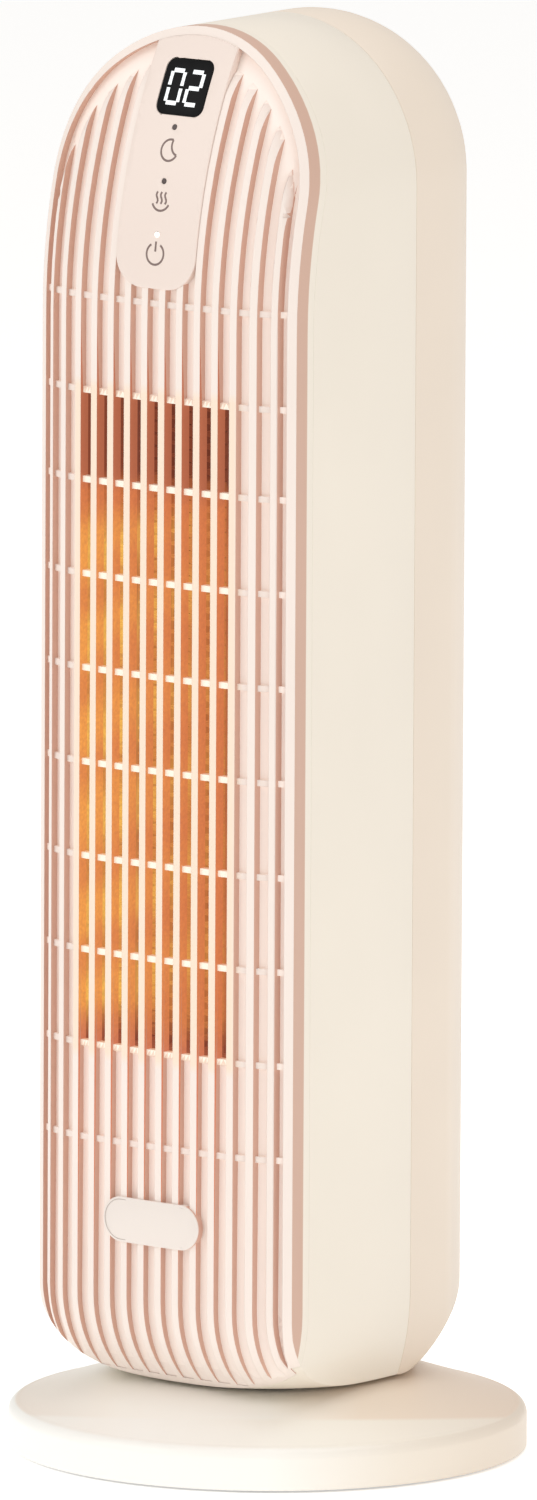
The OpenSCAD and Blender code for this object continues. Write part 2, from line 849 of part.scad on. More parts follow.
// Tip-over switch: a plunger that the floor holds up
plunger_ring = base_d / 2 - 40;
plunger_r = 4;
plunger_travel = 4;
plunger_rim = 1.8;
stem_r = 1.8;
stem_gap = 0.4;
flange_z = plate_top + plunger_travel + 0.2;
flange_top = flange_z + plunger_rim;
holder_top = flange_z + 7;
holder_r = plunger_r + 4;
holder_roof = 2;
module tip_plunger() {
  color([0.85, 0.85, 0.85]) translate([0, -plunger_ring, 0]) {
    cylinder(h = flange_z, r = plunger_r, $fn = 48);
    translate([0, 0, flange_z]) cylinder(h = plunger_rim, r = plunger_r + plunger_rim, $fn = 48);
    translate([0, 0, flange_top]) cylinder(h = holder_top + 1.9 - flange_top, r = stem_r, $fn = 32);
  }
}

module tip_switch_holder() {
  color([0.3, 0.3, 0.32]) translate([0, -plunger_ring, 0]) difference() {
    translate([0, 0, plate_top])
      cylinder(h = holder_top + holder_roof - plate_top, r = holder_r, $fn = 64);
    translate([0, 0, plate_top - over])
      cylinder(h = holder_top + over - plate_top, r = plunger_r + plunger_rim + stem_gap, $fn = 64);
    cylinder(h = holder_top + 2 * holder_roof, r = stem_r + stem_gap, $fn = 32);
  }
}

// The spring between the plunger's rim and the roof of its holder
spring_gap = 0.1;
spring_out_r = plunger_r + 0.6;
spring_in_r = plunger_r - 0.4;
module tip_spring() {
  color([0.75, 0.75, 0.78]) translate([0, -plunger_ring, flange_top + spring_gap]) difference() {
    cylinder(h = holder_top - flange_top - 2 * spring_gap, r = spring_out_r, $fn = 48);
    translate([0, 0, -over]) cylinder(h = holder_top, r = spring_in_r, $fn = 48);
  }
}

switch_size = [12, 6.4, 3.4];
module tip_switch() {
  color([0.15, 0.15, 0.16])
    translate([-switch_size[0] / 2, -plunger_ring - switch_size[1] / 2, holder_top + holder_roof + 0.1])
      cube(switch_size);
}

// Swing drive: the post and its gear stand still, the turntable turns round them
press_gap = 0.02;
thrust_r = post_r + 20;
thrust_in_r = post_r + 10;
thrust_h = foot_z - neck_z - 0.1;
washer_z = foot_z + table_t + 0.1;
washer_t = 1.3;
washer_r = post_r + 7;
gear_z = washer_z + washer_t;
nut_z = gear_z + gear_w;
nut_h = 2.4;
nut_r = post_r + 4;
mesh_gap = 0.3;
pinion_y = (gear_teeth + pinion_teeth) * gear_m / 2 + mesh_gap;

// Ring of the given height with a round bore
module ring(h, r, bore_r) {
  difference() {
    cylinder(h = h, r = r, $fn = 120);
    translate([0, 0, -over]) cylinder(h = h + 2 * over, r = bore_r, $fn = 120);
  }
}

module thrust_ring() {
  color([0.95, 0.95, 0.95]) translate([0, 0, neck_z]) ring(thrust_h, thrust_r, thrust_in_r);
}

module swing_washer() {
  color([0.7, 0.7, 0.72]) translate([0, 0, washer_z]) ring(washer_t, washer_r, post_r + press_gap);
}

// Spur gear outline with narrow straight-sided teeth
tooth_root = 1.2;
tooth_tip = 0.85;
foot_share = 0.31;
tip_share = 0.1;
module gear_outline(teeth) {
  root = (teeth / 2 - tooth_root) * gear_m;
  tip = (teeth / 2 + tooth_tip) * gear_m;
  step = 360 / teeth;
  polygon([for (i = [0 : teeth - 1],
                k = [[root, -foot_share], [tip, -tip_share], [tip, tip_share], [root, foot_share]])
    [k[0] * cos((i + k[1]) * step), k[0] * sin((i + k[1]) * step)]]);
}

module swing_gear() {
  color([0.92, 0.92, 0.9]) translate([0, 0, gear_z]) difference() {
    rotate([0, 0, 90]) linear_extrude(gear_w) gear_outline(gear_teeth);
    translate([0, 0, -over]) cylinder(h = gear_w + 2 * over, r = post_r + press_gap, $fn = 120);
  }
}

module swing_lock_nut() {
  color([0.75, 0.75, 0.77]) translate([0, 0, nut_z]) difference() {
    cylinder(h = nut_h, r = nut_r, $fn = 6);
    translate([0, 0, -over]) cylinder(h = nut_h + 2 * over, r = post_r + press_gap, $fn = 120);
  }
}

// Two posts on the turntable's flange carry the bracket of the swing motor
bracket_z = nut_z + 3.2;
bracket_t = 2;
bracket_rim = 5;
bracket_front = 12;
bracket_post_r = 4;
bracket_post_x = 20;
bracket_post_y = pinion_y + 8;
bracket_bore = 6;
module at_bracket_posts(z) {
  for (sx = [-1, 1]) translate([sx * bracket_post_x, bracket_post_y, z]) children();
}

module turntable() {
  color([0.8, 0.79, 0.76]) difference() {
    union() {
      translate([0, 0, foot_z]) cylinder(h = table_t, r = table_r, $fn = 120);
      translate([0, 0, flange_low])
        cylinder(h = foot_z + table_t - flange_low, r = table_r + table_flange, $fn = 120);
      at_bracket_posts(flange_low) cylinder(h = bracket_z - flange_low, r = bracket_post_r, $fn = 48);
    }
    translate([0, 0, foot_z - over]) cylinder(h = table_t + 2 * over, r = post_r + run_gap, $fn = 120);
    at_table_screws() cylinder(h = table_t + over, r = table_screw_r, $fn = 32);
    at_bracket_posts(bracket_z - bracket_bore) cylinder(h = bracket_bore + over, r = screw_r, $fn = 32);
  }
}

module turntable_screws() {
  color([0.6, 0.6, 0.62]) at_table_screws() {
    cylinder(h = table_head_h, r = table_head_r, $fn = 32);
    translate([0, 0, table_head_h]) cylinder(h = table_t - table_head_h, r = table_screw_r, $fn = 32);
  }
}

module swing_motor_bracket() {
  color([0.72, 0.72, 0.74]) difference() {
    translate([-bracket_post_x - bracket_rim, pinion_y - bracket_front, bracket_z])
      cube([2 * (bracket_post_x + bracket_rim), bracket_post_y - pinion_y + bracket_front + bracket_rim,
            bracket_t]);
    translate([0, pinion_y, bracket_z - over])
      cylinder(h = bracket_t + 2 * over, r = pinion_shaft_r + 1, $fn = 48);
    at_bracket_posts(bracket_z - over)
      cylinder(h = bracket_t + 2 * over, r = screw_r + part_gap, $fn = 32);
  }
}

// The shaft of the pinion ends in a bore in the swing motor
shaft_in = 10;
bore_in = 11;
gear_side_gap = 0.2;
module swing_motor() {
  color([0.78, 0.78, 0.8]) translate([0, pinion_y, bracket_z + bracket_t]) difference() {
    cylinder(h = swing_motor_h, r = swing_motor_r, $fn = 96);
    translate([0, 0, -over]) cylinder(h = bore_in + over, r = pinion_shaft_r + run_gap, $fn = 64);
  }
}

module swing_pinion() {
  low = gear_z + gear_side_gap;
  color([0.9, 0.9, 0.88]) translate([0, pinion_y, low]) {
    rotate([0, 0, -90 + 180 / pinion_teeth])
      linear_extrude(gear_w - 2 * gear_side_gap) gear_outline(pinion_teeth);
    cylinder(h = bracket_z + bracket_t + shaft_in - low, r = pinion_shaft_r, $fn = 64);
  }
}

// Air duct: two plates carry the heater, the fan and the duct walls
seat_gap = 0.1;
duct_low = window_z - cap_h - seat_gap;
duct_high = window_top + cap_h + seat_gap;
duct_side = half_w - wall - 0.3;
duct_front = -front_depth + core_set - 3;
duct_back = rear_depth - 17;
duct_corner_x = 14;
duct_corner_y = 8;
duct_end_x = 24;
module duct_plate_outline() {
  corner_y = rear_depth - rear_round - 2;
  polygon([[-duct_side, duct_front], [duct_side, duct_front], [duct_side, corner_y],
           [duct_side - duct_corner_x, duct_back - duct_corner_y], [duct_side - duct_end_x, duct_back],
           [duct_end_x - duct_side, duct_back], [duct_corner_x - duct_side, duct_back - duct_corner_y],
           [-duct_side, corner_y]]);
}

// Power board: it hangs behind two lugs under the lower plate
power_half = duct_side - 18.7;
power_l = 72;
power_t = 1.6;
power_y = duct_front + 6;
power_top = duct_low - duct_plate_t - seat_gap;
lug_x = power_half - 8;
lug_half = 2;
lug_t = 3;
lug_l = 12;
hub_r = 8;
hub_h = 8;
module duct_lower_plate() {
  color([0.3, 0.3, 0.31]) difference() {
    union() {
      translate([0, 0, duct_low - duct_plate_t]) linear_extrude(duct_plate_t) duct_plate_outline();
      for (sx = [-1, 1])
        translate([sx * lug_x - lug_half, power_y - lug_t, duct_low - duct_plate_t - lug_l])
          cube([2 * lug_half, lug_t, lug_l + duct_plate_t / 2]);
    }
    translate([0, fan_y, duct_low - duct_plate_t - over])
      cylinder(h = duct_plate_t + 2 * over, r = hub_r + 1, $fn = 64);
  }
}

bush_r = 6;
mount_r = 10;
bush_h = 7;
mount_h = 6;
bush_z = duct_high - 1;
module duct_upper_plate() {
  color([0.3, 0.3, 0.31]) difference() {
    translate([0, 0, duct_high]) linear_extrude(duct_plate_t) duct_plate_outline();
    translate([0, fan_y, bush_z]) cylinder(h = far, r = mount_r + press_gap, $fn = 96);
  }
}

wall_z = duct_low + seat_gap;
wall_h = duct_high - duct_low - 2 * seat_gap;
duct_x = window_x + frame_t + 4;
heater_back = -front_depth + core_set + core_depth;
wall_y = heater_back + 0.1;
// Spiral round the fan, opening toward the heater
fan_room = 3;
spiral_a = 100;
spiral_end_a = -40;
spiral_open = 18;
function spiral_r(a, grow) =
  fan_r + fan_room + (spiral_a - a) / (spiral_a - spiral_end_a) * spiral_open + grow;
function spiral(a, grow) = [spiral_r(a, grow) * cos(a), fan_y + spiral_r(a, grow) * sin(a)];
module scroll_wall() {
  color([0.35, 0.35, 0.36]) translate([0, 0, wall_z]) linear_extrude(wall_h)
    polygon(concat(
      [for (a = [spiral_a : -10 : spiral_end_a]) spiral(a, duct_t)],
      [[duct_x, wall_y], [duct_x - duct_t, wall_y]],
      [for (a = [spiral_end_a : 10 : spiral_a]) spiral(a, 0)]));
}

// The tongue passes close to the fan and ends in a tail
tongue_a = 35;
tail_x = 22;
tail_y = 14;
module tongue_wall() {
  nose = [-(fan_r + fan_room) * cos(tongue_a), fan_y - (fan_r + fan_room) * sin(tongue_a)];
  tail = nose + [-tail_x, tail_y];
  color([0.35, 0.35, 0.36]) translate([0, 0, wall_z]) linear_extrude(wall_h)
    polygon([[duct_t - duct_x, wall_y], nose, tail, tail - [0, duct_t * 1.2],
             nose - [duct_t * 1.4, duct_t * 0.4], [-duct_x, wall_y]]);
}

fan_low = duct_low + 5;
fan_high = duct_high - 5;
fan_rim_r = fan_r + 0.4;
disc_t = 2;
blade_in = 0.5;
hoop_t = 1.2;
hoop_count = 3;
hub_in = 1;
module fan_wheel() {
  inner = fan_r - blade_depth;
  color([0.2, 0.2, 0.21]) translate([0, fan_y, 0]) {
    for (i = [0 : blade_count - 1]) rotate([0, 0, i * 360 / blade_count])
      translate([0, 0, fan_low + blade_in]) linear_extrude(fan_high - fan_low - 2 * blade_in)
        polygon(concat(
          [for (t = [0 : 0.25 : 1]) blade_point(t, inner, blade_t / 2)],
          [for (t = [1 : -0.25 : 0]) blade_point(t, inner, -blade_t / 2)]));
    for (z = [fan_low, fan_high - disc_t]) translate([0, 0, z]) difference() {
      cylinder(h = disc_t, r = fan_rim_r, $fn = 96);
      translate([0, 0, -over]) cylinder(h = disc_t + 2 * over, r = shaft_r, $fn = 48);
    }
    for (k = [1 : hoop_count])
      translate([0, 0, fan_low + k * (fan_high - fan_low) / (hoop_count + 1)]) difference() {
        cylinder(h = hoop_t, r = fan_rim_r, $fn = 96);
        translate([0, 0, -over]) cylinder(h = hoop_t + 2 * over, r = inner - 1, $fn = 96);
      }
    for (z = [fan_low + hub_in, fan_high - hub_h - hub_in]) translate([0, 0, z]) difference() {
      cylinder(h = hub_h, r = hub_r, $fn = 64);
      translate([0, 0, -over]) cylinder(h = hub_h + 2 * over, r = shaft_r, $fn = 48);
    }
  }
}

// Point of a blade: t runs from its inner to its outer edge, off moves it to one side
blade_sweep = 14;
blade_start = 6;
blade_lean = 20;
function blade_point(t, inner, off) =
  let (r = inner + t * blade_depth, a = blade_sweep * t * t - blade_start * t)
  [r * cos(a) - off * sin(a + blade_lean), r * sin(a) + off * cos(a + blade_lean)];

// The shaft comes in two pieces, one in each hub of the wheel
motor_top = duct_low - duct_plate_t;
shaft_end = 4;
module fan_shaft() {
  motor_low = motor_top - motor_h - shaft_end;
  hub_low = fan_high - hub_in - hub_h;
  color([0.75, 0.75, 0.78]) translate([0, fan_y, 0]) {
    translate([0, 0, motor_low])
      cylinder(h = fan_low + hub_in + hub_h - motor_low, r = shaft_r, $fn = 48);
    translate([0, 0, hub_low]) cylinder(h = duct_high + bush_h - hub_low, r = shaft_r, $fn = 48);
  }
}

module fan_bush() {
  color([0.75, 0.6, 0.35]) translate([0, fan_y, bush_z]) ring(bush_h, bush_r, shaft_r + run_gap);
}

module fan_bush_mount() {
  color([0.15, 0.15, 0.15]) translate([0, fan_y, bush_z]) ring(mount_h, mount_r, bush_r + press_gap);
}

boss_h = 3;
module fan_motor() {
  color([0.7, 0.7, 0.72]) translate([0, fan_y, motor_top - motor_h]) difference() {
    union() {
      cylinder(h = motor_h, r = motor_r, $fn = 96);
      translate([0, 0, -boss_h]) cylinder(h = motor_h + 2 * boss_h, r = hub_r, $fn = 64);
    }
    translate([0, 0, -boss_h - over])
      cylinder(h = motor_h + 2 * (boss_h + over), r = shaft_r + run_gap, $fn = 64);
  }
}

// Heating core: fin stacks between ceramic strips, held by a frame with two end caps
core_w = 2 * window_x;
core_y = -front_depth + core_set;
stack_w = (core_w - (stack_count - 1) * strip_t) / stack_count;
core_low = window_z;
core_h = window_top - window_z;
function strip_x(i) = -core_w / 2 + i * (stack_w + strip_t) - strip_t;

sheet_t = 1;
cap_back = 2;
// The frame's collar leads the air to the inside of the grille
collar_in = 0.6;
collar_t = 1.4;
collar_gap = 0.5;
collar_x = core_w / 2 + collar_in + collar_t;
collar_y = -front_depth + grille_t + face_fall(collar_x) + collar_gap;
module heater_frame() {
  color([0.75, 0.75, 0.76]) difference() {
    union() {
      translate([-duct_x, core_y, core_low - cap_h])
        cube([2 * duct_x, core_depth, core_h + 2 * cap_h]);
      translate([-collar_x, collar_y, core_low - collar_in - collar_t])
        cube([2 * collar_x, core_y + cap_back / 2 - collar_y, core_h + 2 * (collar_in + collar_t)]);
    }
    translate([-collar_x + collar_t, collar_y - over, core_low - collar_in])
      cube([2 * (collar_x - collar_t), core_y - collar_y + over, core_h + 2 * collar_in]);
    translate([-core_w / 2 - seat_gap, core_y - over, core_low - seat_gap])
      cube([core_w + 2 * seat_gap, core_depth + 2 * over, core_h + 2 * seat_gap]);
    for (z = [core_low - cap_h - sheet_t, core_low + core_h + sheet_t])
      translate([-core_w / 2 - 1, core_y + cap_back, z])
        cube([core_w + 2, core_depth - 2 * cap_back, cap_h]);
  }
}

module heater_end_caps() {
  cap_y = cap_back + part_gap;
  color([0.15, 0.15, 0.16])
    for (z = [core_low - cap_h, core_low + core_h + sheet_t + seat_gap])
      translate([-core_w / 2, core_y + cap_y, z])
        cube([core_w, core_depth - 2 * cap_y, cap_h - sheet_t - seat_gap]);
}

// Each fin stack is one folded sheet with flat crests
crest = 0.8;
module fin_stacks() {
  count = floor(core_h / fin_pitch);
  pitch = core_h / count;
  color([0.85, 0.85, 0.86]) for (i = [0 : stack_count - 1])
    translate([-core_w / 2 + i * (stack_w + strip_t), core_y + core_depth, core_low])
      rotate([90, 0, 0]) linear_extrude(core_depth)
        polygon(concat(
          [for (j = [0 : count - 1], p = [[0, crest / 2], [stack_w - fin_t, pitch / 2 - crest / 2],
            [stack_w - fin_t, pitch / 2 + crest / 2], [0, pitch - crest / 2]])
              [p[0], j * pitch + p[1]]],
          [for (j = [count - 1 : -1 : 0], p = [[fin_t, pitch - crest / 2], [stack_w, pitch / 2 + crest / 2],
            [stack_w, pitch / 2 - crest / 2], [fin_t, crest / 2]])
              [p[0], j * pitch + p[1]]]));
}

strip_in = 0.5;
module ceramic_strips() {
  color([0.55, 0.5, 0.47]) for (i = [1 : stack_count - 1])
    translate([strip_x(i), core_y + strip_in, core_low])
      cube([strip_t, core_depth - 2 * strip_in, core_h]);
}

tab_w = 6.3;
tab_l = 7;
tab_t = 0.8;
module heater_terminals() {
  color([0.8, 0.7, 0.4]) for (i = [1 : stack_count - 1])
    translate([strip_x(i) + strip_t / 2 - tab_w / 2, heater_back, core_low - cap_h / 2])
      cube([tab_w, tab_l, tab_t]);
}

cutout_r = 7;
cutout_h = 6;
cutout_x = duct_x - 16;
cutout_z = core_low + core_h - 20;
module thermal_cutout() {
  color([0.2, 0.2, 0.22]) translate([cutout_x, heater_back + 0.2, cutout_z])
    rotate([-90, 0, 0]) cylinder(h = cutout_h, r = cutout_r, $fn = 48);
}

module power_board() {
  color([0.1, 0.35, 0.2]) translate([-power_half, power_y, power_top - power_l])
    cube([2 * power_half, power_t, power_l]);
}

relay_size = [16, 14, 20];
relay_count = 3;
relay_step = 24;
relay_drop = 40;
module relays() {
  color([0.15, 0.2, 0.5]) for (i = [0 : relay_count - 1])
    translate([-relay_size[0] / 2 + (i - (relay_count - 1) / 2) * relay_step - 2, power_y + power_t,
               power_top - relay_drop - relay_size[2]])
      cube(relay_size);
}

base_cover();
base_plate();
base_screws();
rubber_feet();
cord_inlet();
tip_plunger();
tip_spring();
tip_switch_holder();
tip_switch();
thrust_ring();
swing_gear();
swing_lock_nut();
swing_washer();
turntable();
turntable_screws();
swing_motor_bracket();
swing_motor();
swing_pinion();
casing();
rear_shell();
casing_screws();
intake_cover();
dust_filter();
front_grille();
control_panel();
display_window();
display_module();
control_board();
touch_springs();
indicator_lights();
badge_plate();
heater_frame();
heater_end_caps();
fin_stacks();
ceramic_strips();
heater_terminals();
thermal_cutout();
duct_lower_plate();
duct_upper_plate();
scroll_wall();
tongue_wall();
fan_wheel();
fan_shaft();
fan_bush();
fan_bush_mount();
fan_motor();
power_board();
relays();
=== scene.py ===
from contextlib import contextmanager
import json
import math

import bpy
from mathutils import Matrix, Vector

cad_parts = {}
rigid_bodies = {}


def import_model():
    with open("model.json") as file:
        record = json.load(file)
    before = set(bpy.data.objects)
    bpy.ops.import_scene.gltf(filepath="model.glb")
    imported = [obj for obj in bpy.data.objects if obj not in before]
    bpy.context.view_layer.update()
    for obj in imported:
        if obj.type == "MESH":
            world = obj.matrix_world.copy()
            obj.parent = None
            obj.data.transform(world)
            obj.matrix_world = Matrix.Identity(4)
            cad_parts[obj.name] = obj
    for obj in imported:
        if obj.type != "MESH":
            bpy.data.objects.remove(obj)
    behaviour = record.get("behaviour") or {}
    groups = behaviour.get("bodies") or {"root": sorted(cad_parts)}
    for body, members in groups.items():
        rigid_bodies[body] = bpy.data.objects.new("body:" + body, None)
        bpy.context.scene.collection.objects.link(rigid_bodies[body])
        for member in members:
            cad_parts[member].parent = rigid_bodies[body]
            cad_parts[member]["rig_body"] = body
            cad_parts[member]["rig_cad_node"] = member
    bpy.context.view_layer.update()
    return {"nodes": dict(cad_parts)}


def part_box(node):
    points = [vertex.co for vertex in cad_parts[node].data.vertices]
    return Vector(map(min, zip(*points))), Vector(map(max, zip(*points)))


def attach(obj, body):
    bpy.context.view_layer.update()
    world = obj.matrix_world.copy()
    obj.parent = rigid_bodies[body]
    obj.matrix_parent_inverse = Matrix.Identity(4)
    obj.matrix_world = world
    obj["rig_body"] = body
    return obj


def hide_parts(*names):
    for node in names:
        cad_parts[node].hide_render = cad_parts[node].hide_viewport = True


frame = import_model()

bl_info = {
    "name": "Ceramic Tower Heater",
    "version": (1, 0, 0),
    "blender": (4, 5, 0),
    "location": "View3D > Sidebar > Heater",
    "description": "Builds the visible pieces of a ceramic tower fan heater over its CAD frame",
    "category": "Object",
}

MM = 0.001

# Front face of the body, in millimetres, as the CAD source has it
FRONT = -80.0
FACE_R = 500.0
FACE_TURN = 37.92
EDGE_R = 62.5
EDGE_X = 33.18
EDGE_DEPTH = 63.76
LEAN_Z = 480.0
LEAN_R = 230.0
ARCH_Z = 533.5
HALF_W = 66.5
FOOT_TOP = 72.0
SIDE_FOOT_R = 108.56

# Open window of the grille
WINDOW_X = 41.5
WINDOW_Z = (176.0, 449.1)
# Depth of the ribs over the floor between them and of the bars below the rib faces
RIB_H = 3.0
BAR_DROP = 1.6
# Arch that the ribs end at, the length over which they run out, and the width of the rim
TIP_R = 59.8
TIP_DROP = 5.3
RUN_OUT = 11.0
RUN_OUT_SHARE = 1.2
RIM_W = 3.5
# Rows of points that are cut across the upper ends of the ribs
CUT_START_Z = 500.0
CUT_STEP = 2.5
# Slots between the ribs, and how much wider and deeper they are drawn than in the CAD
SLOT_PITCH = 9.0
SLOT_HALF = 2.7
OUTER_RIB_X = 60.3
WIDER = 0.15
WIDER_OUTSIDE = 1.0
DEEPER = 0.5
# Slack in telling which surface a point or a face of the grille lies on
NEAR = 0.05
SLACK = 0.3
RIM_OUTSIDE = 0.1
RIM_INSIDE = 0.2
FLOOR_DEPTH = (2.9, 3.7)
FLOOR_RISE = 1.0
EDGE_SLACK = 0.6
WIDE_SLACK = 1.0
BEHIND_BARS = 2.5
# Heights at which the foot's walls and slots start, and how far it reaches over its top
RIM_WALL_Z = 50.0
SLOT_FOOT_Z = 44.0
FOOT_BLEND = 8.0
# Shares of a face's normal: sideways, and the most that faces frontward on a wall
SIDEWAYS = 0.97
WALL_FRONT = 0.3
BAND_FRONT = 0.5
# Depth of the dark band behind the edge of the face, and the softness of its end
BAND_DEPTH = 7.2
BAND_SOFT = 0.1
# Seam between the casing and the rear shell, and the gap that is left there
SEAM_Y = 10.8
REAR_EDGE_Y = 11.0
SEAM_GAP = 0.03

# Middle and half sizes of the panel, and how far its edge moves out to close the gap round it
PANEL_Z = 545.65
PANEL_HALF_W = 20.5
PANEL_HALF_H = 50.65
PANEL_CLOSE = 0.17
PANEL_PROUD = 0.6
# Where the display and the three touch keys lie, and how high a sign sits over its key
DISPLAY_Z = 576.0
KEY_Z = (550.0, 529.0, 508.0)
SIGN_RISE = 1.1
SIGN_LINE = 0.95
# Digits: half sizes, distance from the middle, gap at the ends of a stroke, and its width
DIGIT_HALF_W = 3.2
DIGIT_HALF_H = 6.4
DIGIT_X = 4.9
DIGIT_GAP = 0.55
DIGIT_LINE = 1.75
# Badge: shift to the side, how far its sides go down and behind which plane, and its line
BADGE_SHIFT = 1.2
BADGE_DEEPER = 2.4
BADGE_BACK = 0.2
BADGE_INSET = 1.1
BADGE_LINE = 0.4
BADGE_PROUD = 1.2
# Thickness of every stroke
STROKE_THICK = 0.08

# Radii of the rounded edges
SHELL_EDGE = 0.35
PANEL_EDGE = 0.25
DISPLAY_EDGE = 0.2
BADGE_EDGE = 0.4
SCREW_EDGE = 0.35
# Angles in degrees: faces that count as flat, edges to round, and limits of smooth shading
FLAT_ANGLE = 0.6
PANEL_FLAT = 0.25
ROUND_ANGLE = 30.0
ROUND_SMOOTH = 40.0
CRISP_SMOOTH = 30.0
LIGHT_SMOOTH = 35.0
CURVE_SMOOTH = 60.0
ROUND_SEGMENTS = 2

# Springs: corners round the wire and steps in a turn
WIRE_SIDES = 10
COIL_STEPS = 28
# Cross recess: length and width by the head's radius, height, middle and narrow end
CROSS_LENGTH = 1.15
CROSS_WIDTH = 0.26
CROSS_HEIGHT = 2.3
CROSS_MIDDLE = -0.35
CROSS_NARROW = 0.55

# From here on, lengths are in metres. Distance at which two points are one
MERGE = 0.000002
# Finishes: scales of the wide drift and of the fine grain, and the height of the grain
DRIFT_SCALE = 14.0
GRAIN_SCALE = 2600.0
GRAIN = 0.00001
SHINE_DRIFT = 0.05
# Window as a box of (x, z), where the rib faces take a painted glow, and the heights over which
# the painted light on the rib floors fades in
WINDOW_BOX = ((-0.043, 0.172), (0.043, 0.453))
LIFT_Z = (0.045, 0.110)
# Bright sweeps over the hot fins, painted light of the glowing hot air in front of them: distance,
# rise to the right and height of the first
SWEEP_PITCH = 0.0382
SWEEP_SLOPE = 0.49
SWEEP_START = 0.4026
# Glow: upper ends of the lit and of the bright part, fade to the right, dark foot, unevenness
LIT_TOP = (0.407, 0.415)
BRIGHT_TOP = (0.392, 0.404)
BRIGHT_SIDE = (-0.040, 0.030)
DARK_FOOT = (0.178, 0.192)
GLOW_DRIFT = 0.002
# Base: radius, place of the edge between its top and its front, and its outer rim, which part its
# painted light and shade
BASE_R = 0.108
BASE_EDGE = (-0.0130, -0.0118)
BASE_RIM = (0.1045, 0.1055)
BASE_BEVEL = 0.0004
BASE_ROUGH = 0.36
# Pitch of the filter's threads, and the tracks of the circuit boards
MESH_PITCH = 0.0012
TRACK_LENGTH = 0.011
TRACK_PITCH = 0.0024

# Camera: angles round the object, distance, and the height of the picture at the object
VIEW_AZIMUTH = 38.0
VIEW_ELEVATION = 9.4
VIEW_ROLL = 0.283
VIEW_DISTANCE = 10.0
VIEW_HEIGHT = 0.62453
VIEW_RIGHT = -0.0009
VIEW_UP = 0.28883
# Width of the camera's sensor, in millimetres
SENSOR = 36.0


def srgb(red, green, blue):
    """Linear colour of an 8-bit display colour."""
    def linear(value):
        value = value / 255
        return value / 12.92 if value <= 0.04045 else ((value + 0.055) / 1.055) ** 2.4
    return (linear(red), linear(green), linear(blue))


def face_fall(x):
    """How far the face falls back at distance x from the middle, in millimetres."""
    x = abs(x)
    if x <= FACE_TURN:
        return FACE_R - math.sqrt(FACE_R ** 2 - x ** 2)
    return EDGE_DEPTH - math.sqrt(EDGE_R ** 2 - (x - EDGE_X) ** 2)


def side_x(z):
    """Half width of the body at height z, below the arch, in millimetres."""
    if z >= FOOT_TOP:
        return HALF_W
    return HALF_W - SIDE_FOOT_R + math.sqrt(SIDE_FOOT_R ** 2 - (FOOT_TOP - z) ** 2)


def tip_z(x):
    """Height at which the ribs end at distance x from the middle, in millimetres."""
    return ARCH_Z - TIP_DROP + math.sqrt(max(0.0, TIP_R ** 2 - x ** 2))


def reach_of(x, z):
    """Distance from the middle: sideways below the arch, from the arch's centre in it."""
    return math.hypot(x, max(0.0, z - ARCH_Z))


def off_slot(x):
    """Distance of x from the middle of the nearest slot, below 0 to its left."""
    return x - SLOT_PITCH * round(x / SLOT_PITCH)


def face_y(x, z, depth=0.0):
    """Place of the front face along Y at (x, z), moved back by depth, in millimetres."""
    inset = face_fall(x) + depth
    if z <= LEAN_Z:
        return FRONT + inset
    return FRONT + LEAN_R - math.sqrt((LEAN_R - inset) ** 2 - (z - LEAN_Z) ** 2)


# Materials

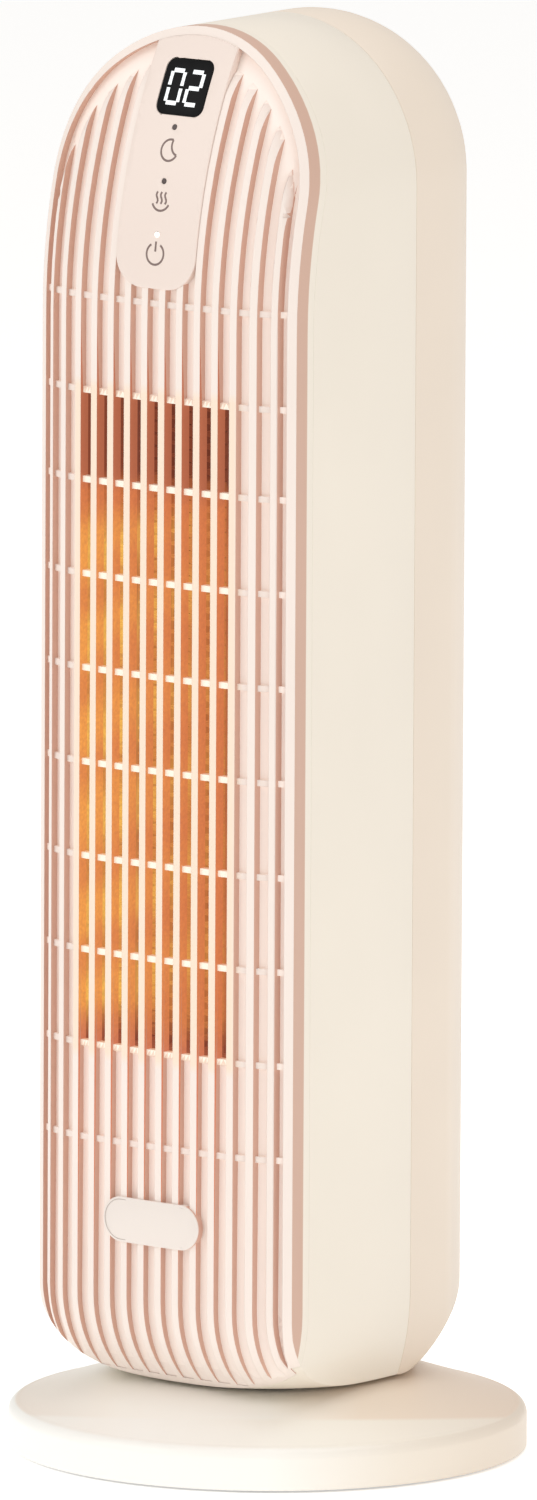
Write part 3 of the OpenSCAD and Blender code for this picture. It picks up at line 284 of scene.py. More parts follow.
class Graph:
    """Node tree of one material, built node by node."""

    def __init__(self, name):
        self.material = bpy.data.materials.new(name)
        self.material.use_nodes = True
        self.nodes = self.material.node_tree.nodes
        self.links = self.material.node_tree.links
        self.nodes.clear()
        self.place = self.add("ShaderNodeTexCoord").outputs["Object"]

    def add(self, kind, settings=(), **inputs):
        """Adds a node, with settings of the node itself and values or links for its inputs."""
        node = self.nodes.new(kind)
        for key, value in dict(settings).items():
            setattr(node, key, value)
        for key, value in inputs.items():
            socket = node.inputs[key.replace("_", " ")]
            self.fill(socket, value)
        return node

    def fill(self, socket, value):
        """Links an output to an input, or gives the input a value."""
        if isinstance(value, bpy.types.NodeSocket):
            self.links.new(value, socket)
        elif isinstance(value, tuple) and len(value) == 3 and socket.type == "RGBA":
            socket.default_value = (*value, 1.0)
        else:
            socket.default_value = value

    def noise(self, scale, detail=2.0, stretch=(1.0, 1.0, 1.0)):
        """Cloudy values from 0 to 1."""
        place = self.add("ShaderNodeMapping", Vector=self.place, Scale=stretch).outputs[0]
        noise = self.add("ShaderNodeTexNoise", Vector=place, Scale=scale, Detail=detail)
        return noise.outputs["Fac"]

    def spread(self, value, low, high, start=0.3, end=0.7):
        """Maps the range from start to end, at first that of a noise, onto low to high."""
        node = self.add("ShaderNodeMapRange", Value=value)
        node.inputs["From Min"].default_value = start
        node.inputs["From Max"].default_value = end
        node.inputs["To Min"].default_value = low
        node.inputs["To Max"].default_value = high
        return node.outputs[0]

    def ramp(self, value, stops):
        """Colours at places between 0 and 1."""
        node = self.add("ShaderNodeValToRGB", Fac=value)
        elements = node.color_ramp.elements
        while len(elements) < len(stops):
            elements.new(0.5)
        for element, (place, colour) in zip(elements, stops):
            element.position = place
            element.color = (*colour, 1.0)
        return node.outputs["Color"]

    def times(self, first, second):
        """Product of two values."""
        node = self.add("ShaderNodeMath", {"operation": "MULTIPLY"})
        self.fill(node.inputs[0], first)
        self.fill(node.inputs[1], second)
        return node.outputs[0]

    def sweeps(self, cloud):
        """Soft bright sweeps of painted light, the glow of the hot air, that rise to the right,
        evenly spaced up the window.
        """
        turns = 2.0 * math.pi / SWEEP_PITCH
        wander = self.spread(cloud, -1.2, 1.2)
        phase = self.add("ShaderNodeMath", {"operation": "MULTIPLY_ADD"})
        self.fill(phase.inputs[0], self.along((-SWEEP_SLOPE, 0.0, 1.0)))
        self.fill(phase.inputs[1], turns)
        self.fill(phase.inputs[2], wander)
        shifted = self.add("ShaderNodeMath", {"operation": "SUBTRACT"})
        self.fill(shifted.inputs[0], phase.outputs[0])
        self.fill(shifted.inputs[1], SWEEP_START * turns)
        wave = self.add("ShaderNodeMath", {"operation": "COSINE"})
        self.fill(wave.inputs[0], shifted.outputs[0])
        return self.spread(wave.outputs[0], 0.35, 1.0, -0.8, 0.8)

    def along(self, direction):
        """Distance from the middle along a direction, in metres."""
        node = self.add("ShaderNodeVectorMath", {"operation": "DOT_PRODUCT"})
        self.fill(node.inputs[0], self.place)
        self.fill(node.inputs[1], direction)
        return node.outputs["Value"]

    def mix(self, factor, first, second):
        """First colour where factor is 0, second where it is 1."""
        node = self.add("ShaderNodeMix", {"data_type": "RGBA"})
        self.fill(node.inputs["Factor"], factor)
        first_colour, second_colour = (item for item in node.inputs if item.type == "RGBA")
        self.fill(first_colour, first)
        self.fill(second_colour, second)
        return next(item for item in node.outputs if item.type == "RGBA")

    def inside(self, low, high, soft=0.002):
        """1 inside the box between two corners of (x, z) in metres, 0 outside, with soft sides."""
        split = self.add("ShaderNodeSeparateXYZ", Vector=self.place)
        shares = []
        for axis, start, end in (("X", low[0], high[0]), ("Z", low[1], high[1])):
            value = split.outputs[axis]
            shares.append(self.spread(value, 0.0, 1.0, start - soft, start + soft))
            shares.append(self.spread(value, 1.0, 0.0, end - soft, end + soft))
        result = shares[0]
        for share in shares[1:]:
            result = self.times(result, share)
        return result

    def finish(self, colour, rough, height, depth, metal=0.0, edge=0.0, **more):
        """Material of a colour and a roughness, with relief from height and rounded edges."""
        shader = self.add("ShaderNodeBsdfPrincipled", Roughness=rough, Metallic=metal, **more)
        self.fill(shader.inputs["Base Color"], colour)
        bump = self.add("ShaderNodeBump", Height=height, Distance=depth, Strength=1.0)
        if edge:
            bevel = self.add("ShaderNodeBevel", {"samples": 4}, Radius=edge)
            self.links.new(bevel.outputs[0], bump.inputs["Normal"])
        self.links.new(bump.outputs[0], shader.inputs["Normal"])
        out = self.add("ShaderNodeOutputMaterial")
        self.links.new(shader.outputs[0], out.inputs["Surface"])
        return self.material


def tinted(colour, factor):
    """The colour made darker or lighter by a factor."""
    return tuple(min(1.0, channel * factor) for channel in colour)


def moulded(name, colour, rough=0.42, grain=GRAIN, drift=0.03, edge=0.0, warm=None,
            painted_lift=0.0, **more):
    """Injection-moulded plastic: an even colour with a faint drift and a fine grain; where asked,
    a painted glow in the window and painted light that grows with height.
    """
    graph = Graph(name)
    # Emission that grows with height: painted light that lifts the slot floors out of their shade
    if painted_lift:
        height = graph.along((0.0, 0.0, 1.0))
        more["Emission_Strength"] = graph.spread(height, 0.0, painted_lift, *LIFT_Z)
    wide = graph.noise(DRIFT_SCALE)
    fine = graph.noise(GRAIN_SCALE)
    tone = graph.mix(wide, tinted(colour, 1 - drift), tinted(colour, 1 + drift))
    # Warmer colour inside the window: painted glow light from the hot fins
    if warm is not None:
        tone = graph.mix(graph.inside(*WINDOW_BOX), tone, warm)
    shine = graph.spread(fine, rough - SHINE_DRIFT, rough + SHINE_DRIFT)
    return graph.finish(tone, shine, fine, grain, edge=edge, **more)


def banded(name, colour, behind):
    """Plastic that turns to another colour a set depth behind the edge of the face."""
    graph = Graph(name)
    wide = graph.noise(DRIFT_SCALE)
    fine = graph.noise(GRAIN_SCALE)
    depth = graph.add("ShaderNodeAttribute", {"attribute_name": "depth"}).outputs["Fac"]
    past = graph.spread(depth, 0.0, 1.0, BAND_DEPTH - BAND_SOFT, BAND_DEPTH + BAND_SOFT)
    tone = graph.mix(past, graph.mix(wide, tinted(colour, 0.98), tinted(colour, 1.02)), behind)
    return graph.finish(tone, 0.45, fine, GRAIN)


def painted_light_base(name):
    """Plastic of the base with painted light and shade: palest in front as painted light, warmer
    to one side as painted shade.
    """
    graph = Graph(name)
    turn = math.radians(VIEW_AZIMUTH)
    side = graph.along((math.cos(turn), math.sin(turn), 0.0))
    side = graph.spread(side, 0.0, 1.0, -BASE_R, BASE_R)
    tilt = math.radians(VIEW_ELEVATION)
    low = graph.along((math.sin(turn) * math.sin(tilt), -math.cos(turn) * math.sin(tilt),
                       -math.cos(tilt)))
    flat = graph.add("ShaderNodeVectorMath", {"operation": "MULTIPLY"})
    graph.fill(flat.inputs[0], graph.place)
    graph.fill(flat.inputs[1], (1.0, 1.0, 0.0))
    length = graph.add("ShaderNodeVectorMath", {"operation": "LENGTH"})
    graph.fill(length.inputs[0], flat.outputs[0])
    reach = length.outputs["Value"]
    # Painted light and shade across the base: palest left of the middle, warmer and darker to the
    # right, where the tower's shadow falls
    top = graph.ramp(side, ((0.0, srgb(243, 231, 218)), (0.22, srgb(252, 249, 241)),
                            (0.5, srgb(254, 251, 244)), (0.68, srgb(243, 227, 209)),
                            (1.0, srgb(235, 214, 194))))
    front = graph.ramp(side, ((0.0, srgb(250, 245, 236)), (0.25, srgb(253, 251, 245)),
                              (0.6, srgb(250, 244, 233)), (1.0, srgb(241, 228, 212))))
    rim = graph.ramp(side, ((0.0, srgb(253, 252, 247)), (0.5, srgb(252, 249, 242)),
                            (0.75, srgb(240, 230, 216)), (1.0, srgb(228, 213, 196))))
    tone = graph.mix(graph.spread(low, 0.0, 1.0, *BASE_EDGE), top, front)
    tone = graph.mix(graph.spread(reach, 0.0, 1.0, *BASE_RIM), tone, rim)
    fine = graph.noise(GRAIN_SCALE)
    shine = graph.spread(fine, BASE_ROUGH - SHINE_DRIFT, BASE_ROUGH + SHINE_DRIFT)
    return graph.finish(tone, shine, fine, GRAIN, edge=BASE_BEVEL)


def metallic(name, colour, rough, stretch=(1.0, 1.0, 1.0)):
    """Metal with fine drawing marks along the axis that stretch leaves long."""
    graph = Graph(name)
    lines = graph.noise(900.0, 4.0, stretch)
    tone = graph.mix(lines, tinted(colour, 0.86), tinted(colour, 1.08))
    shine = graph.spread(lines, rough - 0.08, rough + 0.12)
    return graph.finish(tone, shine, lines, GRAIN, metal=1.0)


def hot(name, dark, warm, bright, stretch=(1.0, 1.0, 1.0)):
    """Glowing metal: dark at the top row of the window, brightest low and to the left; on the
    grille's cell walls the same glow is painted light.
    """
    settings = bpy.context.scene.heater
    graph = Graph(name)
    split = graph.add("ShaderNodeSeparateXYZ", Vector=graph.place)
    cloud = graph.noise(24.0, 3.0)
    lines = graph.noise(700.0, 3.0, stretch)
    drift = graph.spread(cloud, -GLOW_DRIFT, GLOW_DRIFT)
    level = graph.add("ShaderNodeMath", {"operation": "ADD"})
    graph.fill(level.inputs[0], split.outputs["Z"])
    graph.fill(level.inputs[1], drift)
    lit = graph.spread(level.outputs[0], 1.0, 0.0, *LIT_TOP)
    deep = graph.spread(level.outputs[0], 1.0, 0.0, *BRIGHT_TOP)
    low = graph.spread(split.outputs["X"], 1.0, 0.0, *BRIGHT_SIDE)
    # The sweeps are painted light: the glow of the hot air in front of the fins
    both = graph.times(graph.times(deep, low), graph.sweeps(cloud))
    foot = graph.spread(split.outputs["Z"], 0.0, 1.0, *DARK_FOOT)
    tone = graph.mix(lit, dark, graph.mix(foot, tinted(dark, 1.5), graph.mix(both, warm, bright)))
    shaded = graph.mix(graph.spread(lines, 0.0, 0.35), tone, tinted(dark, 0.8))
    shader = {"Emission_Color": shaded, "Emission_Strength": settings.glow}
    return graph.finish(tinted(dark, 0.5), 0.5, lines, 2.0 * GRAIN, **shader)


def weave(name, colour):
    """Fine square mesh of plastic threads."""
    graph = Graph(name)
    waves = []
    for direction in ("X", "Z"):
        wave = graph.add("ShaderNodeTexWave", {"bands_direction": direction},
                         Vector=graph.place, Scale=0.5 / MESH_PITCH)
        waves.append(wave.outputs["Fac"])
    both = graph.add("ShaderNodeMath", {"operation": "MAXIMUM"})
    graph.fill(both.inputs[0], waves[0])
    graph.fill(both.inputs[1], waves[1])
    tone = graph.mix(both.outputs[0], tinted(colour, 0.35), colour)
    return graph.finish(tone, 0.6, both.outputs[0], 0.0002)


def board(name, colour, copper):
    """Green circuit board with paler tracks and tinned pads."""
    graph = Graph(name)
    turned = graph.add("ShaderNodeMapping", Vector=graph.place,
                       Rotation=(math.radians(90.0), 0.0, 0.0)).outputs[0]
    tracks = graph.add("ShaderNodeTexBrick", {"offset": 0.37, "squash": 1.0}, Vector=turned,
                       Scale=1.0, Mortar_Size=0.0003, Mortar_Smooth=0.1)
    tracks.inputs["Brick Width"].default_value = TRACK_LENGTH
    tracks.inputs["Row Height"].default_value = TRACK_PITCH
    pads = graph.add("ShaderNodeTexVoronoi", {"feature": "F1"}, Vector=turned, Scale=230.0)
    spot = graph.spread(pads.outputs["Distance"], 1.0, 0.0, 0.16, 0.2)
    tone = graph.mix(tracks.outputs["Fac"], colour, tinted(colour, 1.7))
    return graph.finish(graph.mix(spot, tone, copper), 0.35, tracks.outputs["Fac"], 0.00004)


def lamp(name, colour, strength):
    """Frosted light: an even glow with a faint unevenness."""
    graph = Graph(name)
    soft = graph.noise(900.0)
    tone = graph.mix(soft, tinted(colour, 0.94), colour)
    return graph.finish(tinted(colour, 0.6), 0.4, soft, GRAIN,
                        Emission_Color=tone, Emission_Strength=strength)


def material(name):
    """The named material, made on first use."""
    found = bpy.data.materials.get(name)
    if found is None:
        found = RECIPES[name](name)
    return found


RECIPES = {
    # Rib faces: their own colour, warmer in the window as painted glow from the hot fins
    "rib face": lambda n: moulded(n, srgb(244, 231, 222), 0.42, edge=0.0003,
                                  warm=srgb(247, 226, 205)),
    # Slot floors: paler than the rib faces and lit by an emission, painted light against the shade
    # in the narrow slots
    "rib floor": lambda n: moulded(n, srgb(250, 238, 229), 0.45, painted_lift=0.09,
                                   Emission_Color=srgb(255, 242, 232)),
    # Walls of the slots and the badge's right side: a darker copy of the rib plastic as painted
    # shade, with a faint emission as painted light against the darkest shade
    "rib wall": lambda n: moulded(n, srgb(206, 168, 150), 0.5,
                                  Emission_Color=srgb(200, 160, 142), Emission_Strength=0.12),
    # Bars in the window: paler than the rib plastic and lit by an emission, painted glow from the
    # hot fins
    "bar": lambda n: moulded(n, srgb(254, 246, 232), 0.4, edge=0.0003,
                             Emission_Color=srgb(255, 236, 205), Emission_Strength=0.12),
    "band": lambda n: banded(n, srgb(209, 173, 154), srgb(238, 229, 215)),
    "panel": lambda n: moulded(n, srgb(238, 222, 212), 0.38),
    "badge": lambda n: moulded(n, srgb(236, 226, 218), 0.36),
    "badge line": lambda n: moulded(n, srgb(196, 184, 176), 0.4),
    "shell": lambda n: moulded(n, srgb(238, 229, 215), 0.4),
    "rear shell": lambda n: moulded(n, srgb(233, 219, 203), 0.42),
    "base": painted_light_base,
    "display": lambda n: moulded(n, srgb(8, 8, 9), 0.4, 0.000002, 0.1, Specular_IOR_Level=0.12),
    "digits": lambda n: lamp(n, srgb(232, 236, 238), 0.85),
    "print": lambda n: moulded(n, srgb(128, 108, 102), 0.5),
    "dark dot": lambda n: moulded(n, srgb(70, 55, 52), 0.3),
    "white dot": lambda n: lamp(n, srgb(255, 252, 244), 1.2),
    "fin": lambda n: hot(n, srgb(120, 62, 42), srgb(197, 116, 67), srgb(244, 190, 88),
                         (1, 1, 0.1)),
    "hot frame": lambda n: hot(n, srgb(122, 66, 46), srgb(193, 114, 66), srgb(242, 188, 90)),
    "strip": lambda n: hot(n, srgb(106, 54, 38), srgb(184, 104, 60), srgb(232, 174, 82),
                           (1, 1, 0.1)),
    # Walls of the window's cells: grille plastic that takes the glow of the hot fins as painted
    # light
    "cell wall": lambda n: hot(n, srgb(166, 98, 71), srgb(203, 120, 72), srgb(233, 161, 77)),
    "filter": lambda n: weave(n, srgb(120, 116, 110)),
    "steel": lambda n: metallic(n, srgb(196, 198, 200), 0.3),
    "motor": lambda n: metallic(n, srgb(180, 180, 182), 0.36, (1, 1, 0.05)),
    "brass": lambda n: metallic(n, srgb(212, 178, 104), 0.3),
    "black": lambda n: moulded(n, srgb(34, 33, 34), 0.5),
    "dark grey": lambda n: moulded(n, srgb(70, 68, 66), 0.5),
    "grey": lambda n: moulded(n, srgb(168, 166, 162), 0.5),
    "rubber": lambda n: moulded(n, srgb(52, 51, 52), 0.75, 3.0 * GRAIN),
    "grey rubber": lambda n: moulded(n, srgb(150, 148, 146), 0.75, 3.0 * GRAIN),
    "nylon": lambda n: moulded(n, srgb(236, 233, 224), 0.4),
    "board": lambda n: board(n, srgb(34, 88, 54), srgb(214, 212, 204)),
    "relay": lambda n: moulded(n, srgb(42, 88, 168), 0.35),
}


# Work on objects

def pick(*objects):
    """Selects only these objects and makes the first of them active."""
    if bpy.context.mode != "OBJECT":
        bpy.ops.object.mode_set(mode="OBJECT")
    bpy.ops.object.select_all(action="DESELECT")
    for item in objects:
        item.select_set(True)
    bpy.context.view_layer.objects.active = objects[0]


def current(name):
    """Names the active object and its data."""
    piece = bpy.context.view_layer.objects.active
    piece.name = name
    piece.data.name = name
    return piece


def keep_place(piece):
    """Puts the place, turn and size of a piece into its mesh."""
    pick(piece)
    bpy.ops.object.transform_apply(location=True, rotation=True, scale=True)


@contextmanager
def editing(piece):
    """Edit mode with the whole mesh of a piece selected."""
    pick(piece)
    bpy.ops.object.mode_set(mode="EDIT")
    bpy.ops.mesh.select_all(action="SELECT")
    yield
    bpy.ops.object.mode_set(mode="OBJECT")


def modify(piece, kind, **settings):
    """Adds a modifier with these settings and applies it."""
    pick(piece)
    bpy.ops.object.modifier_add(type=kind)
    modifier = piece.modifiers[-1]
    for key, value in settings.items():
        setattr(modifier, key, value)
    bpy.ops.object.modifier_apply(modifier=modifier.name)


def smooth(piece, angle):
    """Shades a piece smooth, except over edges sharper than the angle in degrees."""
    pick(piece)
    bpy.ops.object.shade_smooth_by_angle(angle=math.radians(angle))


def outward(piece):
    """Merges double points and turns every face outward."""
    with editing(piece):
        bpy.ops.mesh.remove_doubles(threshold=MERGE)
        bpy.ops.mesh.normals_make_consistent(inside=False)


def join(name, pieces):
    """Makes one piece of several."""
    pick(*pieces)
    if len(pieces) > 1:
        bpy.ops.object.join()
    return current(name)


def paint(piece, *names):
    """Gives a piece the named materials, in this order."""
    piece.data.materials.clear()
    for name in names:
        piece.data.materials.append(material(name))


def fit(piece, body, slot, *nodes):
    """Sets what the piece moves with and hides the CAD nodes that it stands for; the slot is not
    used.
    """
    if len(piece.data.polygons) == 0:
        raise RuntimeError(f"{piece.name} has no faces")
    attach(piece, body)
    if nodes:
        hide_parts(*nodes)


def stand_in(piece, node, slot):
    """Puts a piece in the place of a CAD node, on that node's body."""
    fit(piece, frame["nodes"][node]["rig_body"], slot, node)


def copy_node(node, name):
    """A copy of a CAD node with its points merged and its normals outward."""
    source = frame["nodes"][node]
    pick(source)
    bpy.ops.object.duplicate()
    piece = current(name)
    bpy.ops.object.parent_clear(type="CLEAR_KEEP_TRANSFORM")
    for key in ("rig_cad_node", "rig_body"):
        if key in piece:
            del piece[key]
    bpy.ops.mesh.customdata_custom_splitnormals_clear()
    outward(piece)
    return piece


def soften(node, name, width, flat=FLAT_ANGLE, move=None):
    """A copy of a CAD node with rounded edges; move may shift its points first."""
    piece = copy_node(node, name)
    if move is not None:
        for point in piece.data.vertices:
            move(point)
        piece.data.update()
    with editing(piece):
        bpy.ops.mesh.dissolve_limited(angle_limit=math.radians(flat))
    modify(piece, "BEVEL", width=width * MM, segments=ROUND_SEGMENTS, limit_method="ANGLE",
           angle_limit=math.radians(ROUND_ANGLE), use_clamp_overlap=False, harden_normals=False)
    smooth(piece, ROUND_SMOOTH)
    return piece


def crisp(piece):
    """Shades a piece evenly on its faces and keeps its own edges."""
    smooth(piece, CRISP_SMOOTH)
    modify(piece, "WEIGHTED_NORMAL", keep_sharp=True)


def sort_faces(piece, chooser):
    """Gives each face the material whose number chooser returns for its middle and normal."""
    for face in piece.data.polygons:
        face.material_index = chooser(face.center / MM, face.normal)


def draw(name, lines, width):
    """Flat strokes in the plane y = 0: lines are lists of (x, z) in millimetres."""
    data = bpy.data.curves.new(name, "CURVE")
    data.dimensions = "3D"
    data.bevel_depth = width / 2 * MM
    data.bevel_resolution = 3
    data.use_fill_caps = True
    for points in lines:
        spline = data.splines.new("POLY")
        spline.points.add(len(points) - 1)
        for point, (x, z) in zip(spline.points, points):
            point.co = (x * MM, 0.0, z * MM, 1.0)
    piece = bpy.data.objects.new(name, data)
    bpy.context.scene.collection.objects.link(piece)
    pick(piece)
    bpy.ops.object.convert(target="MESH")
    piece = current(name)
    piece.scale.y = STROKE_THICK / width
    keep_place(piece)
    return piece


def drape(piece, depth):
    """Bends a piece drawn on the flat onto the front face, moved back by depth."""
    for point in piece.data.vertices:
        x, z = point.co.x / MM, point.co.z / MM
        point.co.y += face_y(x, z, depth) * MM
    piece.data.update()
    outward(piece)
    smooth(piece, CURVE_SMOOTH)


def stroke(name, lines, width, proud, finish, slot):
    """Strokes that stand on the front face, raised over it by proud millimetres."""
    piece = draw(name, lines, width)
    drape(piece, -proud)
    paint(piece, finish)
    fit(piece, "tower", slot)


def arc(x, z, radius, start, end, steps=24):
    """Points on an arc, angles in degrees from the right, anticlockwise."""
    points = []
    for i in range(steps + 1):
        turn = math.radians(start + (end - start) * i / steps)
        points.append((x + radius * math.cos(turn), z + radius * math.sin(turn)))
    return points


def loose_parts(node, name):
    """The separate solids of a CAD node, each as a copy of its own."""
    piece = copy_node(node, name)
    with editing(piece):
        bpy.ops.mesh.separate(type="LOOSE")
    return list(bpy.context.selected_objects)


def barrel(part, hint):
    """Axis, lower end, length and radius of a round part; hint is about its axis."""
    cap = max(part.data.polygons, key=lambda face: face.normal.dot(hint))
    axis = cap.normal.copy()
    points = [point.co for point in part.data.vertices]
    middle = sum(points, Vector()) / len(points)
    along = [(point - middle).dot(axis) for point in points]
    wide = max(((point - middle) - axis * (point - middle).dot(axis)).length for point in points)
    return axis, middle + axis * min(along), max(along) - min(along), wide


def place_along(piece, start, axis):
    """Stands a piece that was made along Z at a start point and along an axis."""
    piece.rotation_mode = "QUATERNION"
    piece.rotation_quaternion = axis.to_track_quat("Z", "Y")
    piece.location = start
    keep_place(piece)


# Operators, one per piece or group of like pieces

class HEATER_OT_shells(bpy.types.Operator):
    """Casing, rear shell and base cover with rounded edges"""
    bl_idname = "heater.shells"
    bl_label = "Shells"
    bl_options = {"REGISTER", "UNDO"}

    def execute(self, context):
        def close_seam(point):
            """Brings the front edge of the rear shell up to the casing."""
            if abs(point.co.y / MM - REAR_EDGE_Y) < NEAR:
                point.co.y = (SEAM_Y + SEAM_GAP) * MM

        casing = soften("casing", "casing_shell", SHELL_EDGE)
        paint(casing, "shell")
        fit(casing, "tower", "cream", "casing")
        rear = soften("rear_shell", "rear_housing", SHELL_EDGE, move=close_seam)
        paint(rear, "rear shell")
        fit(rear, "tower", "cream_back", "rear_shell")
        cover = copy_node("base_cover", "base_dome")
        crisp(cover)
        paint(cover, "base")
        fit(cover, "base", "warm_white", "base_cover")
        return {"FINISHED"}


class HEATER_OT_grille(bpy.types.Operator):
    """Ribbed front with its window and its darker side band"""
    bl_idname = "heater.grille"
    bl_label = "Front grille"
    bl_options = {"REGISTER", "UNDO"}

    def execute(self, context):
        piece = copy_node("front_grille", "rib_front")
        self.cut_across(piece)
        self.note_depth(piece)
        for point in piece.data.vertices:
            self.run_out(point)
            self.widen(point)
        piece.data.update()
        outward(piece)
        crisp(piece)
        paint(piece, "rib face", "rib floor", "rib wall", "band", "bar", "cell wall")
        sort_faces(piece, self.choose)
        fit(piece, "tower", "blush", "front_grille")
        return {"FINISHED"}

    def cut_across(self, piece):
        """Adds rows of points near the upper ends of the ribs."""
        with editing(piece):
            z = CUT_START_Z
            while z < ARCH_Z + TIP_R - TIP_DROP:
                bpy.ops.mesh.select_all(action="SELECT")
                bpy.ops.mesh.bisect(plane_co=(0, 0, z * MM), plane_no=(0, 0, 1))
                z += CUT_STEP

    def note_depth(self, piece):
        """Keeps how far each point lies behind the face, for the band's material."""
        depths = piece.data.attributes.new("depth", "FLOAT", "POINT")
        for point, value in zip(piece.data.vertices, depths.data):
            x, y, z = point.co / MM
            value.value = y - face_y(x, max(z, FOOT_TOP))

    def run_out(self, point):
        """Lowers the ribs toward their upper ends, so that the slots between them run out."""
        x, y, z = point.co / MM
        share = (z - tip_z(x) + RUN_OUT) / RUN_OUT
        inside = reach_of(x, z) < HALF_W - RIM_W - SLACK
        depth = y - face_y(x, z)
        if 0.0 < share < RUN_OUT_SHARE and inside and -SLACK < depth < RIB_H - SLACK:
            fall = min(1.0, share) ** 2 * RIB_H
            point.co.y = face_y(x, z, min(RIB_H, depth + fall)) * MM

    def widen(self, point):
        """Sets the walls of the slots a little apart and their floors a little back."""
        x, y, z = point.co / MM
        reach = reach_of(x, z)
        if reach > HALF_W - RIM_W + RIM_OUTSIDE:
            return
        slot = off_slot(x)
        outer = OUTER_RIB_X - WIDER_OUTSIDE
        if outer < abs(x) < OUTER_RIB_X + NEAR and reach < HALF_W - RIM_W - RIM_INSIDE:
            point.co.x = math.copysign(outer, x) * MM
        elif abs(abs(slot) - SLOT_HALF) < NEAR:
            point.co.x += math.copysign(WIDER, slot) * MM
        depth = y - face_y(x, z)
        if z > FOOT_TOP + FLOOR_RISE and FLOOR_DEPTH[0] < depth < FLOOR_DEPTH[1]:
            point.co.y += DEEPER * MM

    def choose(self, middle, normal):
        """Number of a face's material, by the middle and the normal of the face."""
        # Sideways walls take the darker wall material as painted shade, except in the window,
        # where they take the painted glow of the hot fins; slot floors and bars take painted light
        face, floor, wall, band, bar, cell = range(6)
        x, y, z = middle
        reach, edge = reach_of(x, z), side_x(z)
        depth = y - face_y(x, max(z, FOOT_TOP))
        if reach > edge - EDGE_SLACK and abs(normal.y) < BAND_FRONT:
            return band
        inward = normal.x * x + normal.z * max(z - ARCH_Z, 0.0) < 0
        by_rim = z > RIM_WALL_Z and edge - RIM_W - WIDE_SLACK < reach
        if by_rim and inward and abs(normal.y) < WALL_FRONT:
            return wall
        in_window = abs(x) < WINDOW_X and WINDOW_Z[0] < z < WINDOW_Z[1]
        if abs(normal.x) > SIDEWAYS:
            return cell if in_window else wall
        inner = reach < edge - RIM_W and FOOT_TOP + FOOT_BLEND < z < ARCH_Z
        if abs(x) > OUTER_RIB_X - WIDER_OUTSIDE and depth > BAR_DROP - SLACK and inner:
            return floor
        if in_window and BAR_DROP - SLACK < depth < RIB_H + BEHIND_BARS:
            return bar
        slot = abs(off_slot(x)) < SLOT_HALF + WIDER
        if z < FOOT_TOP + FOOT_BLEND:
            return floor if slot and z > SLOT_FOOT_Z and reach < edge - RIM_W else face
        if depth > BAR_DROP + SLACK and (slot or z > tip_z(x) - WIDE_SLACK):
            return floor
        return face


class HEATER_OT_panel(bpy.types.Operator):
    """Control panel with its display, digits, key signs and indicator lights"""
    bl_idname = "heater.panel"
    bl_label = "Control panel"
    bl_options = {"REGISTER", "UNDO"}

    # Ends of the strokes, in half sizes of a digit from its middle
    segments = {
        "a": ((-1, 1), (1, 1)), "b": ((1, 1), (1, 0)), "c": ((1, 0), (1, -1)),
        "d": ((-1, -1), (1, -1)), "e": ((-1, -1), (-1, 0)), "f": ((-1, 0), (-1, 1)),
        "g": ((-1, 0), (1, 0)),
    }
    # Strokes of each figure from 0 to 9
    lit = ("abcdef", "bc", "abged", "abgcd", "fgbc", "afgcd", "afgedc", "abc", "abcdefg", "abcdfg")

    def execute(self, context):
        def close_gap(point):
            """Closes the gap round the panel."""
            point.co.x *= 1.0 + PANEL_CLOSE / PANEL_HALF_W
            middle = PANEL_Z * MM
            point.co.z = middle + (point.co.z - middle) * (1.0 + PANEL_CLOSE / PANEL_HALF_H)

        plate = soften("control_panel", "panel_plate", PANEL_EDGE, PANEL_FLAT, close_gap)
        paint(plate, "panel")
        fit(plate, "tower", "blush_panel", "control_panel")
        window = soften("display_window", "display_glass", DISPLAY_EDGE)
        paint(window, "display")
        fit(window, "tower", "display_black", "display_window")
        self.digits(context.scene.heater.reading)
        self.signs()
        self.lights()
        return {"FINISHED"}

    def digits(self, reading):
        """The two figures of the reading, each of up to seven strokes."""
        lines = []
        for place, figure in enumerate(divmod(reading, 10)):
            middle = (place * 2 - 1) * DIGIT_X
            for name in self.lit[figure]:
                (x0, z0), (x1, z1) = self.segments[name]
                x0, x1 = middle + x0 * DIGIT_HALF_W, middle + x1 * DIGIT_HALF_W
                z0, z1 = DISPLAY_Z + z0 * DIGIT_HALF_H, DISPLAY_Z + z1 * DIGIT_HALF_H
                span = math.hypot(x1 - x0, z1 - z0)
                ux, uz = (x1 - x0) / span * DIGIT_GAP, (z1 - z0) / span * DIGIT_GAP
                lines.append([(x0 + ux, z0 + uz), (x1 - ux, z1 - uz)])
        stroke("digits", lines, DIGIT_LINE, PANEL_PROUD, "digits", "light_guide")

    def signs(self):
        """Crescent, three waves over a bowl, and power sign, one over each key."""
        z0, z1, z2 = (z + SIGN_RISE for z in KEY_Z)
        night = [arc(0, z0, 4.3, 75, 335), arc(5.0, z0 + 2.33, 4.3, 155, 255)]
        heat = [arc(0, z1 + 1.2, 4.6, 205, 335)]
        for x in (-2.2, 0.0, 2.2):
            wave = [(x + 0.5 * math.sin(i * math.pi / 4), z1 - 0.6 + i * 0.6) for i in range(9)]
            heat.append(wave)
        power = [arc(0, z2, 4.4, 122, 418), [(0, z2 + 1.0), (0, z2 + 5.1)]]
        for name, lines in (("night", night), ("heat", heat), ("power", power)):
            stroke(f"{name}_sign", lines, SIGN_LINE, PANEL_PROUD, "print", "blush_panel")

    def lights(self):
        """Indicator dots, white where they lie below the middle key."""
        piece = copy_node("indicator_lights", "indicator_dots")
        paint(piece, "dark dot", "white dot")
        sort_faces(piece, lambda middle, normal: int(middle.z < KEY_Z[1]))
        smooth(piece, LIGHT_SMOOTH)
        fit(piece, "tower", "light_guide", "indicator_lights")


